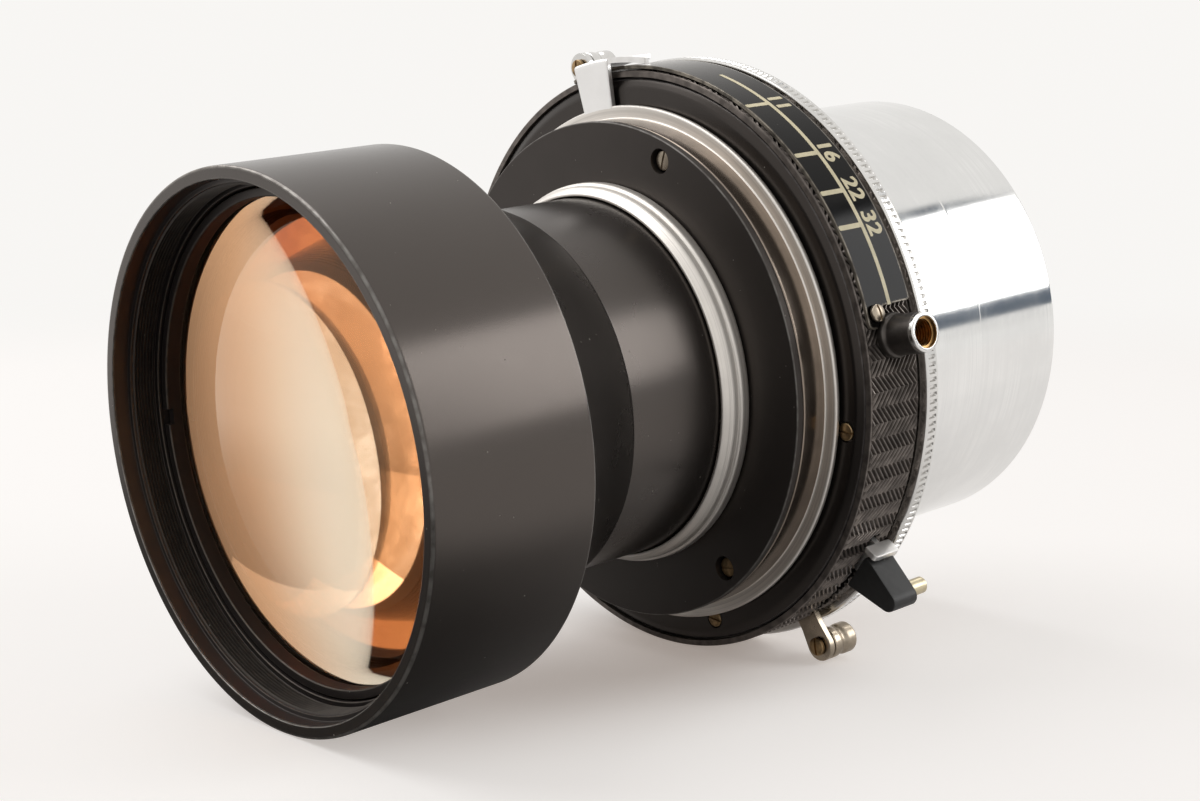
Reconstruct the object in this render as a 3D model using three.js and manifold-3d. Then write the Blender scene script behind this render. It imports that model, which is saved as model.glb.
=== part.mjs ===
// A view-camera lens in a large leaf shutter, lying on its hood and on its speed ring.
// Lengths are millimetres and angles are degrees. In the lens's own frame +Y runs from the hood to the
// rear glass, and an angle round the lens is counted from +X towards +Z.

import * as THREE from 'three';
import { mergeVertices } from 'three/addons/utils/BufferGeometryUtils.js';
import Module from 'manifold-3d';

const wasm = await Module();
wasm.setup();

// Fits
const SEAT_GAP = 0.3; // between pieces that rest on or in each other
const SLIDE_GAP = 0.4; // beside pieces that slide through a slot
const CUT_MARGIN = 1; // how far a cutting body runs past what it cuts
const SMALL_BEVEL = 0.3; // on the edges of small turned pieces

// Facets
const RIM_FACETS = 40;
const INNER_FACETS = 32;
const SMALL_FACETS = 12;
const LENS_STEPS = 3; // rings of faces from the middle of a glass to its edge
const GLASS_LAND_MARGIN = 0.2; // how far a glass's flat land reaches inside the ring that holds it

// Slots of the screw heads
const SCREW_SLOT_WIDTH = 0.5;
const SCREW_SLOT_DEPTH = 0.4;

// Hood
const HOOD_RADIUS = 50;
const HOOD_LENGTH = 34;
const HOOD_FRONT_BEVEL = 0.6;
const HOOD_REAR_BEVEL = 0.4;
const HOOD_WALL = 5;
const LIP_WALL = 2.4;
const LIP_DEPTH = 3.2;
const RIB_BAND_STEP = 0.9; // inwards from the lip
const RIB_BAND_END = 8.4;
const FRONT_SEAT_WIDTH = 2.1;
const FRONT_SEAT_START = 17;
const FRONT_SEAT_THICKNESS = 3;

// Front glass and its ring
const FRONT_GLASS_STEP = 1.4; // inwards from the ribbed band
const FRONT_GLASS_EDGE = 4.4;
const FRONT_GLASS_CURVE_RADIUS = 110;
const FRONT_RING_WIDTH = 1.7;
const FRONT_RING_THICKNESS = 3;
const RING_SLOT_WIDTH = 3;
const RING_SLOT_DEPTH = 1.2;

// Front cell tube: sleeve in the hood, cone and neck
const SLEEVE_WALL = 2.7;
const SHOULDER_INSET = 2.5; // from the hood's rear edge
const CONE_LENGTH = 21.6;
const NECK_RADIUS = 35;
const NECK_FILLET = 0.6;
const NECK_LENGTH = 29.6;
const NECK_WALL = 2.7;
const SHOULDER_WIDTH = 1.8;

// Pair of glasses behind the front glass
const PAIR_RING_WIDTH = 2.2;
const PAIR_RING_THICKNESS = 2.2;
const FLINT_EDGE = 4.9;
const CROWN_EDGE = 3;
const PAIR_FRONT_CURVE_RADIUS = 260;
const PAIR_INNER_CURVE_RADIUS = 290;

// Glass in the neck
const INNER_SEAT_INSET = 10.9; // from the rear of the cone
const INNER_SEAT_LENGTH = 3.1;
const INNER_SEAT_WIDTH = 1.8;
const INNER_GLASS_EDGE = 5;
const INNER_GLASS_CURVE_RADIUS = 120;
const INNER_RING_THICKNESS = 2;
const INNER_RING_WIDTH = 1.6;

// Collar and black disc in front of the shutter
const COLLAR_STANDS_OUT = 2.5; // from the neck
const COLLAR_STEP_DEPTH = 0.6;
const COLLAR_STEP = 3;
const COLLAR_LENGTH = 5.5;
const COLLAR_NOSE = 1.6;
const COLLAR_BEVEL = 0.4;
const DISC_OVER_BOSS = 0.1;
const DISC_THICKNESS = 1.5;
const DISC_HOLE_INSET = 4; // from the disc's edge
const DISC_HOLE_RADIUS = 2.4;
const DISC_HOLE_ANGLES = [68.5, 188.5, 308.5];
const DISC_SCREW_RADIUS = 1.9;
const DISC_SCREW_HEIGHT = 0.7;
const DISC_SCREW_SLOT_TURN = 40;

// Iris housing, iris and aperture ring
const HUB_LENGTH = 7.3;
const HUB_RADIUS = 46.6;
const HUB_WALL = 1.4;
const HUB_FLOOR = 1.2;
const OPENING_RADIUS = 31;
const OPENING_EDGE = 1.5; // how far the iris floor stands back from the opening
const CAM_RING_THICKNESS = 1;
const IRIS_BLADE_COUNT = 8; // open, the blades lie round the opening
const IRIS_BLADE_THICKNESS = 0.25;
const IRIS_BLADE_PITCH = 0.56;
const IRIS_BLADE_SPAN = 95;
const IRIS_BLADE_TAIL = 2.8;
const IRIS_BLADE_MARGIN = 0.8; // between a blade and the hub outside, and the opening inside
const IRIS_BLADE_STEP = 13; // degrees between the corners of its long edges
const DRIVE_LUG_ANGLE = 200;
const DRIVE_LUG_SPAN = 5;
const DRIVE_LUG_DEPTH = 1.6;
const DRIVE_LUG_ROOT = 1.5;
const APERTURE_TURN = 55;
const BOSS_WALL = 2;
const FLANGE_WIDTH = 2.5;
const FLANGE_THICKNESS = 1.2;
const ARM_START_ANGLE = 94.9;
const ARM_END_ANGLE = 104.4;
const ARM_OVER_SCALE = 0.7; // how far the fold stands clear of the scale plate
const ARM_SHEET = 1.1;
const ARM_LENGTH = 12;
const POINTER_TIP_ANGLE = 84.6;
const POINTER_WIDTH = 3.2;
const POINTER_TIP_WIDTH = 1;
const POINTER_STEPS = 4;

// Back plate
const PLATE_CHAMFER_WIDTH = 1.8;
const PLATE_CHAMFER = 0.8;
const PLATE_THICKNESS = 1.8;
const PLATE_BORE_RADIUS = OPENING_RADIUS + 2;
const PLATE_SCREW_INSET = 2.3; // from the edge of the plate's face
const PLATE_SCREW_ANGLES = [-8.2, -73.6, -139, 155.6];
const PLATE_SCREW_RADIUS = 1.7;
const PLATE_SCREW_HEIGHT = 0.8;
const PLATE_SCREW_RISE = 0.2; // above the plate's face

// Shutter housing
const RIM_RADIUS = 57.9;
const RIM_WALL = 3.4;
const RIM_LIP = 1.2; // beside the edge of the back plate
const RIM_STANDS_BEHIND_PLATE = 0.4;
const RIM_WIDTH = 13.7;

// Scale plate
const SCALE_THICKNESS = 0.7;
const SCALE_START_ANGLE = 15.2;
const SCALE_TAB_ANGLE = 11.4;
const SCALE_END_ANGLE = 109;
const SCALE_BEHIND_RIM_FRONT = 0.7;
const SCALE_TAB_WIDTH = 4.5;
const SCALE_WIDTH = 12;
const SCALE_SCREW_INSET = 2.2; // from the scale plate's front edge
const SCALE_SCREW_ANGLES = [14.1, 107];
const SCALE_SCREW_RADIUS = 1.6;
const SCALE_SCREW_HEIGHT = 1;
const SCALE_SCREW_CROWN = 0.6; // share of its radius that the flat of its head takes
const SCALE_SCREW_SLOT_TURN = 36;

// Cable release socket
const SOCKET_ANGLE = 9.6;
const SOCKET_INSET = 6.7; // from the rim's rear edge
const SOCKET_RADIUS = 3.7;
const SOCKET_BASE_RADIUS = 4.2;
const SOCKET_BASE_HEIGHT = 3;
const SOCKET_HEIGHT = 8; // above its seat on the rim
const SOCKET_BORE_RADIUS = 2.75;
const SOCKET_BORE_DEPTH = 6.4;

// Shutter blades and the ring that drives them
const SHUTTER_BLADE_COUNT = 5;
const SHUTTER_BLADE_THICKNESS = 0.3;
const SHUTTER_BLADE_PITCH = 0.56;
const SHUTTER_BLADE_PIVOT_INSET = 8.5; // from the housing's bore
const SHUTTER_BLADE_TAIL = 5;
const SHUTTER_BLADE_SPAN = 100;
const SHUTTER_BLADE_SWING = 68;
const SHUTTER_BLADE_EDGE_GAP = 0.8;
const SHUTTER_BLADE_WALL_GAP = 2.1;
const BLADE_RING_THICKNESS = 1;

// Mechanism plate, setting ring and mainspring
const MECHANISM_PLATE_THICKNESS = 1.2;
const MECHANISM_HUB_WALL = 2.6;
const MECHANISM_HUB_LENGTH = 4.1;
const SETTING_RING_WIDTH = 6.5;
const SETTING_SHEET = 1.3;
const SETTING_RISE = 1.1; // from the mechanism plate to the setting ring
const SETTING_ARM_ANGLES = [-39.5, -31.7];
const SETTING_STROKE = 14;
const SETTING_TONGUE_THICKNESS = 1.2; // degrees
const SETTING_TONGUE_HEIGHT = 2.6;
const SETTING_TONGUE_ROOT = 0.6;
const SETTING_TONGUE_REACH = 2.7;
const SPRING_WIDTH = 1.6;
const SPRING_THICKNESS = 0.9;
const SPRING_SPAN = 300;
const SPRING_STEP = 12;

// Grip of the setting lever and its pin
const GRIP_STANDS_OFF = 1.7; // from the rim
const GRIP_REACH = 10.6;
const GRIP_ROOT_ANGLES = [-41.2, -33.4];
const GRIP_TIP_ANGLES = [-38.2, -35.4];
const GRIP_LENGTH = 6.6;
const GRIP_TIP_BEVEL = 1;
const GRIP_ROOT_BEVEL = 0.4;
const GRIP_ROOT_TURN = 0.6;
const GRIP_PIN_RADIUS = 1.6;
const GRIP_PIN_INSET = 3.1; // from the grip's tip
const GRIP_PIN_ANGLE = -37;
const GRIP_PIN_LENGTH = 4.6;

// Release lever and focusing lever
const LEVER_PIVOT_INSET = 8.5; // from the housing's bore
const KNOB_OVER_SPEED_RING = 1.7;
const LEVER_EYE_RADIUS = 3.8;
const LEVER_TIP_RADIUS = 3.1;
const LEVER_WIDTH = 5.2;
const LEVER_SHEET = 1.4;
const LEVER_STUD_RADIUS = 1.7;
const KNOB_LENGTH = 6.2;
const KNOB_WAIST = 0.5;
const KNOB_WAIST_PLACE = 0.45; // share of its length
const KNOB_WAIST_REACH = 0.15;
const KNOB_SCREW_RADIUS = 1.8;
const KNOB_SCREW_SLOT_TURN = 35;
const RELEASE_ANGLE = -60;
const RELEASE_SWING = 8;
const FOCUS_ANGLE = 116;
const FOCUS_SWING = 20;

// Rear plate, speed ring and its cap
const REAR_PLATE_THICKNESS = 1;
const REAR_PLATE_BORE_RADIUS = OPENING_RADIUS + 5;
const REAR_HUB_WALL = 2.3;
const SPEED_RING_STEP = 1.3; // how far the speed ring stands out from the rim
const SPEED_RING_WIDTH = 3.5;
const SPEED_RING_BEVEL = 0.5;
const CAP_WIDTH = 5.2;
const CAP_THICKNESS = 1.1;

// Rear barrel
const BARREL_RADIUS = 46;
const BARREL_WALL = 3;
const BARREL_FIRST_LENGTH = 33.1;
const BARREL_END_STEP = 0.6;
const BARREL_SECOND_LENGTH = 23.7;
const BARREL_BEVEL = 0.5;
const BARREL_SPIGOT_LENGTH = 14.3;
const BARREL_SPIGOT_WALL = 2.2;
const REAR_SEAT_DEPTH = 14.8; // from the rear edge of the barrel
const REAR_SEAT_WIDTH = 1.7;
const REAR_GLASS_WALL = 3.2;
const REAR_GLASS_EDGE = 7;
const REAR_GLASS_FRONT_CURVE_RADIUS = 150;
const REAR_GLASS_REAR_CURVE_RADIUS = 180;
const REAR_RING_WIDTH = 2.4;
const REAR_RING_THICKNESS = 2.8;
const MIDDLE_GLASS_EDGE = 8;
const MIDDLE_GLASS_FRONT_CURVE_RADIUS = 130;
const MIDDLE_GLASS_REAR_CURVE_RADIUS = 260;

// Places that follow from the sizes above
const LIP_RADIUS = HOOD_RADIUS - LIP_WALL;
const RIB_BAND_RADIUS = LIP_RADIUS - RIB_BAND_STEP;
const FRONT_GLASS_RADIUS = RIB_BAND_RADIUS - FRONT_GLASS_STEP;
const FRONT_SEAT_RADIUS = FRONT_GLASS_RADIUS - FRONT_SEAT_WIDTH;
const FRONT_SEAT_END = FRONT_SEAT_START + FRONT_SEAT_THICKNESS;
const HOOD_BORE_RADIUS = HOOD_RADIUS - HOOD_WALL;
const SLEEVE_RADIUS = HOOD_BORE_RADIUS - SEAT_GAP;
const SLEEVE_BORE_RADIUS = SLEEVE_RADIUS - SLEEVE_WALL;
const SLEEVE_START = FRONT_SEAT_END + SEAT_GAP;
const SLEEVE_SHOULDER = HOOD_LENGTH - SHOULDER_INSET;
const CONE_FRONT_BORE_RADIUS = SLEEVE_BORE_RADIUS - SHOULDER_WIDTH;
const CONE_END = HOOD_LENGTH + CONE_LENGTH;
const NECK_END = CONE_END + NECK_LENGTH;
const NECK_BORE_RADIUS = NECK_RADIUS - NECK_WALL;
const INNER_SEAT_START = CONE_END + INNER_SEAT_INSET;
const HUB_FRONT = NECK_END;
const HUB_REAR = HUB_FRONT + HUB_LENGTH;
const FRONT_GLASS_REAR = FRONT_SEAT_START - SEAT_GAP;
const FRONT_GLASS_FRONT = FRONT_GLASS_REAR - FRONT_GLASS_EDGE;
const DISC_FRONT = HUB_FRONT - SEAT_GAP - DISC_THICKNESS;
const COLLAR_REAR = DISC_FRONT - SEAT_GAP;
const COLLAR_BORE_RADIUS = NECK_RADIUS + SEAT_GAP;
const COLLAR_RADIUS = NECK_RADIUS + COLLAR_STANDS_OUT;
const COLLAR_STEP_RADIUS = COLLAR_RADIUS - COLLAR_STEP_DEPTH;
const APERTURE_RING_REAR = HUB_REAR - SEAT_GAP;
const FLANGE_FRONT = APERTURE_RING_REAR - FLANGE_THICKNESS;
const BOSS_BORE_RADIUS = HUB_RADIUS + SEAT_GAP;
const BOSS_RADIUS = BOSS_BORE_RADIUS + BOSS_WALL;
const FLANGE_RADIUS = BOSS_RADIUS + FLANGE_WIDTH;
const DISC_RADIUS = BOSS_RADIUS + DISC_OVER_BOSS;
const DISC_HOLE_CIRCLE = DISC_RADIUS - DISC_HOLE_INSET;
const HUB_BORE_RADIUS = HUB_RADIUS - HUB_WALL;
const IRIS_RING_BORE_RADIUS = OPENING_RADIUS + OPENING_EDGE;
const CAM_RING_FRONT = HUB_FRONT + SEAT_GAP;
const IRIS_BLADE_START = CAM_RING_FRONT + CAM_RING_THICKNESS + SEAT_GAP;
const IRIS_BLADE_OUTER_RADIUS = HUB_BORE_RADIUS - IRIS_BLADE_MARGIN;
const IRIS_BLADE_INNER_RADIUS = OPENING_RADIUS + IRIS_BLADE_MARGIN;
const PLATE_FRONT = HUB_REAR + SEAT_GAP;
const PLATE_REAR = PLATE_FRONT + PLATE_THICKNESS;
const RIM_FRONT = PLATE_FRONT + RIM_STANDS_BEHIND_PLATE;
const RIM_REAR = RIM_FRONT + RIM_WIDTH;
const SCALE_FRONT = RIM_FRONT + SCALE_BEHIND_RIM_FRONT;
const SCALE_REAR = SCALE_FRONT + SCALE_WIDTH;
const SCALE_TAB_REAR = SCALE_FRONT + SCALE_TAB_WIDTH;
const SCALE_SCREW_PLACE = SCALE_FRONT + SCALE_SCREW_INSET;
const SOCKET_PLACE = RIM_REAR - SOCKET_INSET;
const ARM_REAR = FLANGE_FRONT + ARM_LENGTH;
const RIM_LEDGE = PLATE_REAR + SEAT_GAP;
const RIM_BORE_RADIUS = RIM_RADIUS - RIM_WALL;
const PLATE_RADIUS = RIM_RADIUS - RIM_LIP - SEAT_GAP;
const PLATE_FACE_RADIUS = PLATE_RADIUS - PLATE_CHAMFER_WIDTH;
const PLATE_SCREW_CIRCLE = PLATE_FACE_RADIUS - PLATE_SCREW_INSET;
const SCALE_RADIUS = RIM_RADIUS + SEAT_GAP + SCALE_THICKNESS;
const ARM_TOP_RADIUS = SCALE_RADIUS + ARM_OVER_SCALE + ARM_SHEET;
const SOCKET_TOP = RIM_RADIUS + SEAT_GAP + SOCKET_HEIGHT;
const SHUTTER_BLADE_PIVOT = RIM_BORE_RADIUS - SHUTTER_BLADE_PIVOT_INSET;
const SHUTTER_BLADE_START = PLATE_REAR + SLIDE_GAP;
const SHUTTER_BLADE_OUTER_RADIUS = RIM_BORE_RADIUS - SHUTTER_BLADE_WALL_GAP;
const SHUTTER_BLADE_INNER_RADIUS = OPENING_RADIUS + SHUTTER_BLADE_EDGE_GAP;
const SHUTTER_BLADE_STACK = (SHUTTER_BLADE_COUNT - 1) * SHUTTER_BLADE_PITCH + SHUTTER_BLADE_THICKNESS;
const BLADE_RING_FRONT = SHUTTER_BLADE_START + SHUTTER_BLADE_STACK + SLIDE_GAP;
const MECHANISM_FRONT = BLADE_RING_FRONT + BLADE_RING_THICKNESS + SLIDE_GAP;
const MECHANISM_REAR = MECHANISM_FRONT + MECHANISM_PLATE_THICKNESS;
const SETTING_FRONT = MECHANISM_REAR + SETTING_RISE;
const SETTING_REAR = SETTING_FRONT + SETTING_SHEET;
const MECHANISM_HUB_RADIUS = PLATE_BORE_RADIUS + MECHANISM_HUB_WALL;
const INNER_PLATE_RADIUS = RIM_BORE_RADIUS - SEAT_GAP;
const REAR_PLATE_REAR = RIM_REAR;
const REAR_PLATE_FRONT = REAR_PLATE_REAR - REAR_PLATE_THICKNESS;
const LEVER_REAR = REAR_PLATE_FRONT - SEAT_GAP;
const LEVER_FRONT = LEVER_REAR - LEVER_SHEET;
const LEVER_PIVOT_RADIUS = RIM_BORE_RADIUS - LEVER_PIVOT_INSET;
const SPEED_RING_RADIUS = RIM_RADIUS + SPEED_RING_STEP;
const LEVER_END_RADIUS = SPEED_RING_RADIUS + KNOB_OVER_SPEED_RING + LEVER_TIP_RADIUS;
const SPEED_RING_FRONT = RIM_REAR + SEAT_GAP;
const SPEED_RING_REAR = SPEED_RING_FRONT + SPEED_RING_WIDTH;
const REAR_HUB_RADIUS = BARREL_RADIUS + SEAT_GAP + REAR_HUB_WALL;
const REAR_HUB_END = SPEED_RING_REAR - SEAT_GAP / 2;
const CAP_FRONT = SPEED_RING_REAR + SEAT_GAP;
const CAP_RADIUS = BARREL_RADIUS + SEAT_GAP + CAP_WIDTH;
const BARREL_START = REAR_PLATE_REAR + SEAT_GAP;
const BARREL_JOIN = BARREL_START + BARREL_FIRST_LENGTH;
const BARREL_SECOND_START = BARREL_JOIN + SEAT_GAP;
const BARREL_END = BARREL_SECOND_START + BARREL_SECOND_LENGTH;
const BARREL_SPIGOT_START = BARREL_SECOND_START - BARREL_SPIGOT_LENGTH;
const REAR_SEAT = BARREL_END - REAR_SEAT_DEPTH;
const BARREL_END_RADIUS = BARREL_RADIUS - BARREL_END_STEP;
const REAR_GLASS_BORE_RADIUS = BARREL_END_RADIUS - REAR_GLASS_WALL;
const REAR_SEAT_BORE_RADIUS = REAR_GLASS_BORE_RADIUS - REAR_SEAT_WIDTH;
const BARREL_BORE_RADIUS = BARREL_RADIUS - BARREL_WALL;
const SPIGOT_RADIUS = BARREL_BORE_RADIUS - SEAT_GAP;
const GRIP_FRONT = SETTING_FRONT + SETTING_SHEET / 2 - GRIP_LENGTH / 2;
const GRIP_ROOT_RADIUS = RIM_RADIUS + GRIP_STANDS_OFF;
const GRIP_TIP_RADIUS = GRIP_ROOT_RADIUS + GRIP_REACH;
const GRIP_PIN_PLACE_RADIUS = GRIP_TIP_RADIUS - GRIP_PIN_INSET;

const radians = THREE.MathUtils.degToRad;

// A point of the section across the lens, as [x, z].
function polar(radius, angle) {
  return [radius * Math.cos(radians(angle)), radius * Math.sin(radians(angle))];
}

// Keeps only the shape, with shared corners, no flat triangles and faces that point outwards.
function closed(geometry) {
  const bare = geometry.index ? geometry.toNonIndexed() : geometry.clone();
  for (const name of Object.keys(bare.attributes)) {
    if (name !== 'position') bare.deleteAttribute(name);
  }
  const merged = mergeVertices(bare, 1e-4);
  const place = merged.attributes.position;
  const corners = [0, 1, 2].map(() => new THREE.Vector3());
  const faces = [];
  let volume = 0;
  for (let i = 0; i < merged.index.count; i += 3) {
    const face = [0, 1, 2].map((k) => merged.index.getX(i + k));
    if (face[0] === face[1] || face[1] === face[2] || face[2] === face[0]) continue;
    face.forEach((corner, k) => corners[k].fromBufferAttribute(place, corner));
    volume += corners[0].dot(corners[1].clone().cross(corners[2]));
    faces.push(face);
  }
  if (volume < 0) faces.forEach((face) => face.reverse());
  merged.setIndex(faces.flat());
  return merged;
}

function toManifold(geometry) {
  const body = closed(geometry);
  return new wasm.Manifold(new wasm.Mesh({
    numProp: 3,
    vertProperties: new Float32Array(body.attributes.position.array),
    triVerts: new Uint32Array(body.index.array),
  }));
}

function fromManifold(manifold) {
  const mesh = manifold.getMesh();
  const geometry = new THREE.BufferGeometry();
  geometry.setAttribute('position', new THREE.BufferAttribute(new Float32Array(mesh.vertProperties), 3));
  geometry.setIndex(new THREE.BufferAttribute(new Uint32Array(mesh.triVerts), 1));
  return geometry;
}

function join(geometry, ...others) {
  return fromManifold(others.reduce((whole, other) => whole.add(toManifold(other)), toManifold(geometry)));
}

function cut(geometry, ...cutters) {
  const rest = cutters.reduce((whole, cutter) => whole.subtract(toManifold(cutter)), toManifold(geometry));
  return fromManifold(rest);
}

// A body turned round the lens axis from [radius, place] points. The profile is closed, or has both its
// ends on the axis. A flat, not an edge, points straight down.
function turned(profile, facets = RIM_FACETS) {
  const points = profile.map(([radius, place]) => new THREE.Vector2(radius, place));
  const onAxis = profile[0][0] === 0;
  if (!onAxis) points.push(points[0].clone());
  return closed(new THREE.LatheGeometry(points, facets, Math.PI / facets));
}

// A plain ring between two radii and two places.
function ring(inner, outer, front, rear, facets = INNER_FACETS) {
  return turned([[inner, front], [outer, front], [outer, rear], [inner, rear]], facets);
}

// A flat piece cut from sheet: an outline across the lens, from front to front + thickness.
function sheet(outline, front, thickness, holes = []) {
  const shape = outline instanceof THREE.Shape
    ? outline
    : new THREE.Shape(outline.map(([x, z]) => new THREE.Vector2(x, z)));
  shape.holes.push(...holes);
  const geometry = new THREE.ExtrudeGeometry(shape, {
    depth: thickness,
    bevelEnabled: false,
    curveSegments: SMALL_FACETS / 2,
  });
  geometry.rotateX(Math.PI / 2);
  geometry.translate(0, front + thickness, 0);
  return closed(geometry);
}

// The outline of a stretch of ring between two radii and two angles.
function sector(inner, outer, start, end, step = 360 / RIM_FACETS) {
  const steps = Math.max(1, Math.round((end - start) / step));
  const angles = Array.from({ length: steps + 1 }, (_, k) => start + ((end - start) * k) / steps);
  return [
    ...angles.map((angle) => polar(outer, angle)),
    ...angles.reverse().map((angle) => polar(inner, angle)),
  ];
}

function circleHole(radius, [x, z]) {
  const hole = new THREE.Path();
  hole.absarc(x, z, radius, 0, 2 * Math.PI, true);
  return hole;
}

// A round bar along the lens axis.
function bar(radius, front, rear, [x, z], facets = SMALL_FACETS) {
  const geometry = new THREE.CylinderGeometry(radius, radius, rear - front, facets);
  geometry.translate(x, (front + rear) / 2, z);
  return closed(geometry);
}

// How far a sphere of this curve falls back from its middle at a radius.
function sag(curve, radius) {
  return curve - Math.sqrt(curve * curve - radius * radius);
}

// A glass: edge from front to rear, with bulges of the given curves inside a flat land. A negative curve
// is hollow, and 0 is flat.
function glass(radius, front, rear, frontCurve, rearCurve, clearRadius = radius) {
  const stations = Array.from({ length: LENS_STEPS + 1 }, (_, k) => (clearRadius * k) / LENS_STEPS);
  const surface = (edge, curve, side) => stations.map((station) => {
    if (curve === 0) return [station, edge];
    const height = sag(Math.abs(curve), clearRadius) - sag(Math.abs(curve), station);
    return [station, edge + side * Math.sign(curve) * height];
  });
  const frontSurface = surface(front, frontCurve, -1);
  const rearSurface = surface(rear, rearCurve, 1).reverse();
  const land = radius > clearRadius ? [[radius, front], [radius, rear]] : [];
  return turned([...frontSurface, ...land, ...rearSurface], INNER_FACETS);
}

// Turns a body that was made at angle 0 round the lens to its own angle.
function roundTo(geometry, angle) {
  return geometry.clone().rotateY(-radians(angle));
}

const BLACK = { color: 0x1b1a1a, roughness: 0.55, metalness: 0.4 };
const BLACK_GLOSS = { color: 0x121213, roughness: 0.3, metalness: 0.2 };
const BLACK_BLADE = { color: 0x232325, roughness: 0.5, metalness: 0.6 };
const PLASTIC = { color: 0x1c1a19, roughness: 0.5, metalness: 0 };
const CHROME = { color: 0xd6d6d6, roughness: 0.15, metalness: 1 };
const ALUMINIUM = { color: 0xcfcdc9, roughness: 0.3, metalness: 1 };
const NICKEL = { color: 0xb9b2a8, roughness: 0.28, metalness: 1 };
const BRASS = { color: 0xb08d57, roughness: 0.35, metalness: 1 };
const STEEL = { color: 0x8d8d90, roughness: 0.35, metalness: 1 };
const COATED_GLASS = { color: 0xe8c9a6, roughness: 0.03, metalness: 0 };

function piece(name, geometry, look) {
  const mesh = new THREE.Mesh(geometry, new THREE.MeshStandardMaterial(look));
  mesh.name = name;
  return mesh;
}

function group(...members) {
  const holder = new THREE.Group();
  holder.add(...members);
  return holder;
}

// Hood: a sleeve with a lip, a band for a cap or filter, and a seat for the front glass.
function makeHood() {
  return piece('front_hood', turned([
    [LIP_RADIUS, 0],
    [HOOD_RADIUS - HOOD_FRONT_BEVEL, 0],
    [HOOD_RADIUS, HOOD_FRONT_BEVEL],
    [HOOD_RADIUS, HOOD_LENGTH - HOOD_REAR_BEVEL],
    [HOOD_RADIUS - HOOD_REAR_BEVEL, HOOD_LENGTH],
    [HOOD_BORE_RADIUS, HOOD_LENGTH],
    [HOOD_BORE_RADIUS, FRONT_SEAT_END],
    [FRONT_SEAT_RADIUS, FRONT_SEAT_END],
    [FRONT_SEAT_RADIUS, FRONT_SEAT_START],
    [FRONT_GLASS_RADIUS + SEAT_GAP, FRONT_SEAT_START],
    [FRONT_GLASS_RADIUS + SEAT_GAP, RIB_BAND_END],
    [RIB_BAND_RADIUS, RIB_BAND_END],
    [RIB_BAND_RADIUS, LIP_DEPTH],
    [LIP_RADIUS, LIP_DEPTH],
  ]), BLACK);
}

function makeFrontGlass() {
  const rear = FRONT_GLASS_FRONT - SEAT_GAP;
  const front = rear - FRONT_RING_THICKNESS;
  const slot = new THREE.BoxGeometry(
    2 * (FRONT_GLASS_RADIUS + CUT_MARGIN),
    2 * RING_SLOT_DEPTH,
    RING_SLOT_WIDTH,
  );
  slot.translate(0, front, 0);
  const ringBore = FRONT_GLASS_RADIUS - FRONT_RING_WIDTH;
  const retainer = ring(ringBore, FRONT_GLASS_RADIUS, front, rear, RIM_FACETS);
  return [
    piece('front_retaining_ring', cut(retainer, slot), BLACK),
    piece('front_element', glass(
      FRONT_GLASS_RADIUS,
      FRONT_GLASS_FRONT,
      FRONT_GLASS_REAR,
      FRONT_GLASS_CURVE_RADIUS,
      0,
      ringBore - GLASS_LAND_MARGIN,
    ), COATED_GLASS),
  ];
}

// Front cell tube: its sleeve fills the hood's rear, then it narrows to the neck.
function makeCellTube() {
  const seatEnd = INNER_SEAT_START + INNER_SEAT_LENGTH;
  const seatRadius = NECK_BORE_RADIUS - INNER_SEAT_WIDTH;
  return piece('front_cell_tube', turned([
    [SLEEVE_BORE_RADIUS, SLEEVE_START],
    [SLEEVE_RADIUS, SLEEVE_START],
    [SLEEVE_RADIUS, HOOD_LENGTH],
    [NECK_RADIUS + NECK_FILLET, CONE_END],
    [NECK_RADIUS, CONE_END + NECK_FILLET],
    [NECK_RADIUS, NECK_END],
    [NECK_BORE_RADIUS, NECK_END],
    [NECK_BORE_RADIUS, seatEnd],
    [seatRadius, seatEnd],
    [seatRadius, INNER_SEAT_START],
    [NECK_BORE_RADIUS, INNER_SEAT_START],
    [NECK_BORE_RADIUS, CONE_END],
    [CONE_FRONT_BORE_RADIUS, SLEEVE_SHOULDER],
    [SLEEVE_BORE_RADIUS, SLEEVE_SHOULDER],
  ]), BLACK);
}

function makePair() {
  const radius = SLEEVE_BORE_RADIUS - SEAT_GAP;
  const flintRear = SLEEVE_SHOULDER - SEAT_GAP;
  const flintFront = flintRear - FLINT_EDGE;
  const crownRear = flintFront - SEAT_GAP;
  const crownFront = crownRear - CROWN_EDGE;
  const ringRear = crownFront - SEAT_GAP;
  const clearRadius = radius - PAIR_RING_WIDTH - GLASS_LAND_MARGIN;
  return [
    piece('doublet_crown', glass(
      radius, crownFront, crownRear, PAIR_FRONT_CURVE_RADIUS, PAIR_INNER_CURVE_RADIUS, clearRadius,
    ), COATED_GLASS),
    piece('doublet_flint', glass(
      radius, flintFront, flintRear, -PAIR_INNER_CURVE_RADIUS, 0, clearRadius,
    ), COATED_GLASS),
    piece('doublet_retaining_ring', ring(
      radius - PAIR_RING_WIDTH, radius, ringRear - PAIR_RING_THICKNESS, ringRear,
    ), BLACK),
  ];
}

function makeInnerGlass() {
  const radius = NECK_BORE_RADIUS - SEAT_GAP;
  const front = INNER_SEAT_START + INNER_SEAT_LENGTH + SEAT_GAP;
  const rear = front + INNER_GLASS_EDGE;
  const ringFront = rear + SEAT_GAP;
  return [
    piece('inner_element', glass(
      radius, front, rear, 0, INNER_GLASS_CURVE_RADIUS, radius - INNER_RING_WIDTH - GLASS_LAND_MARGIN,
    ), COATED_GLASS),
    piece('inner_retaining_ring', ring(
      radius - INNER_RING_WIDTH, radius, ringFront, ringFront + INNER_RING_THICKNESS,
    ), BLACK),
  ];
}

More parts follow.
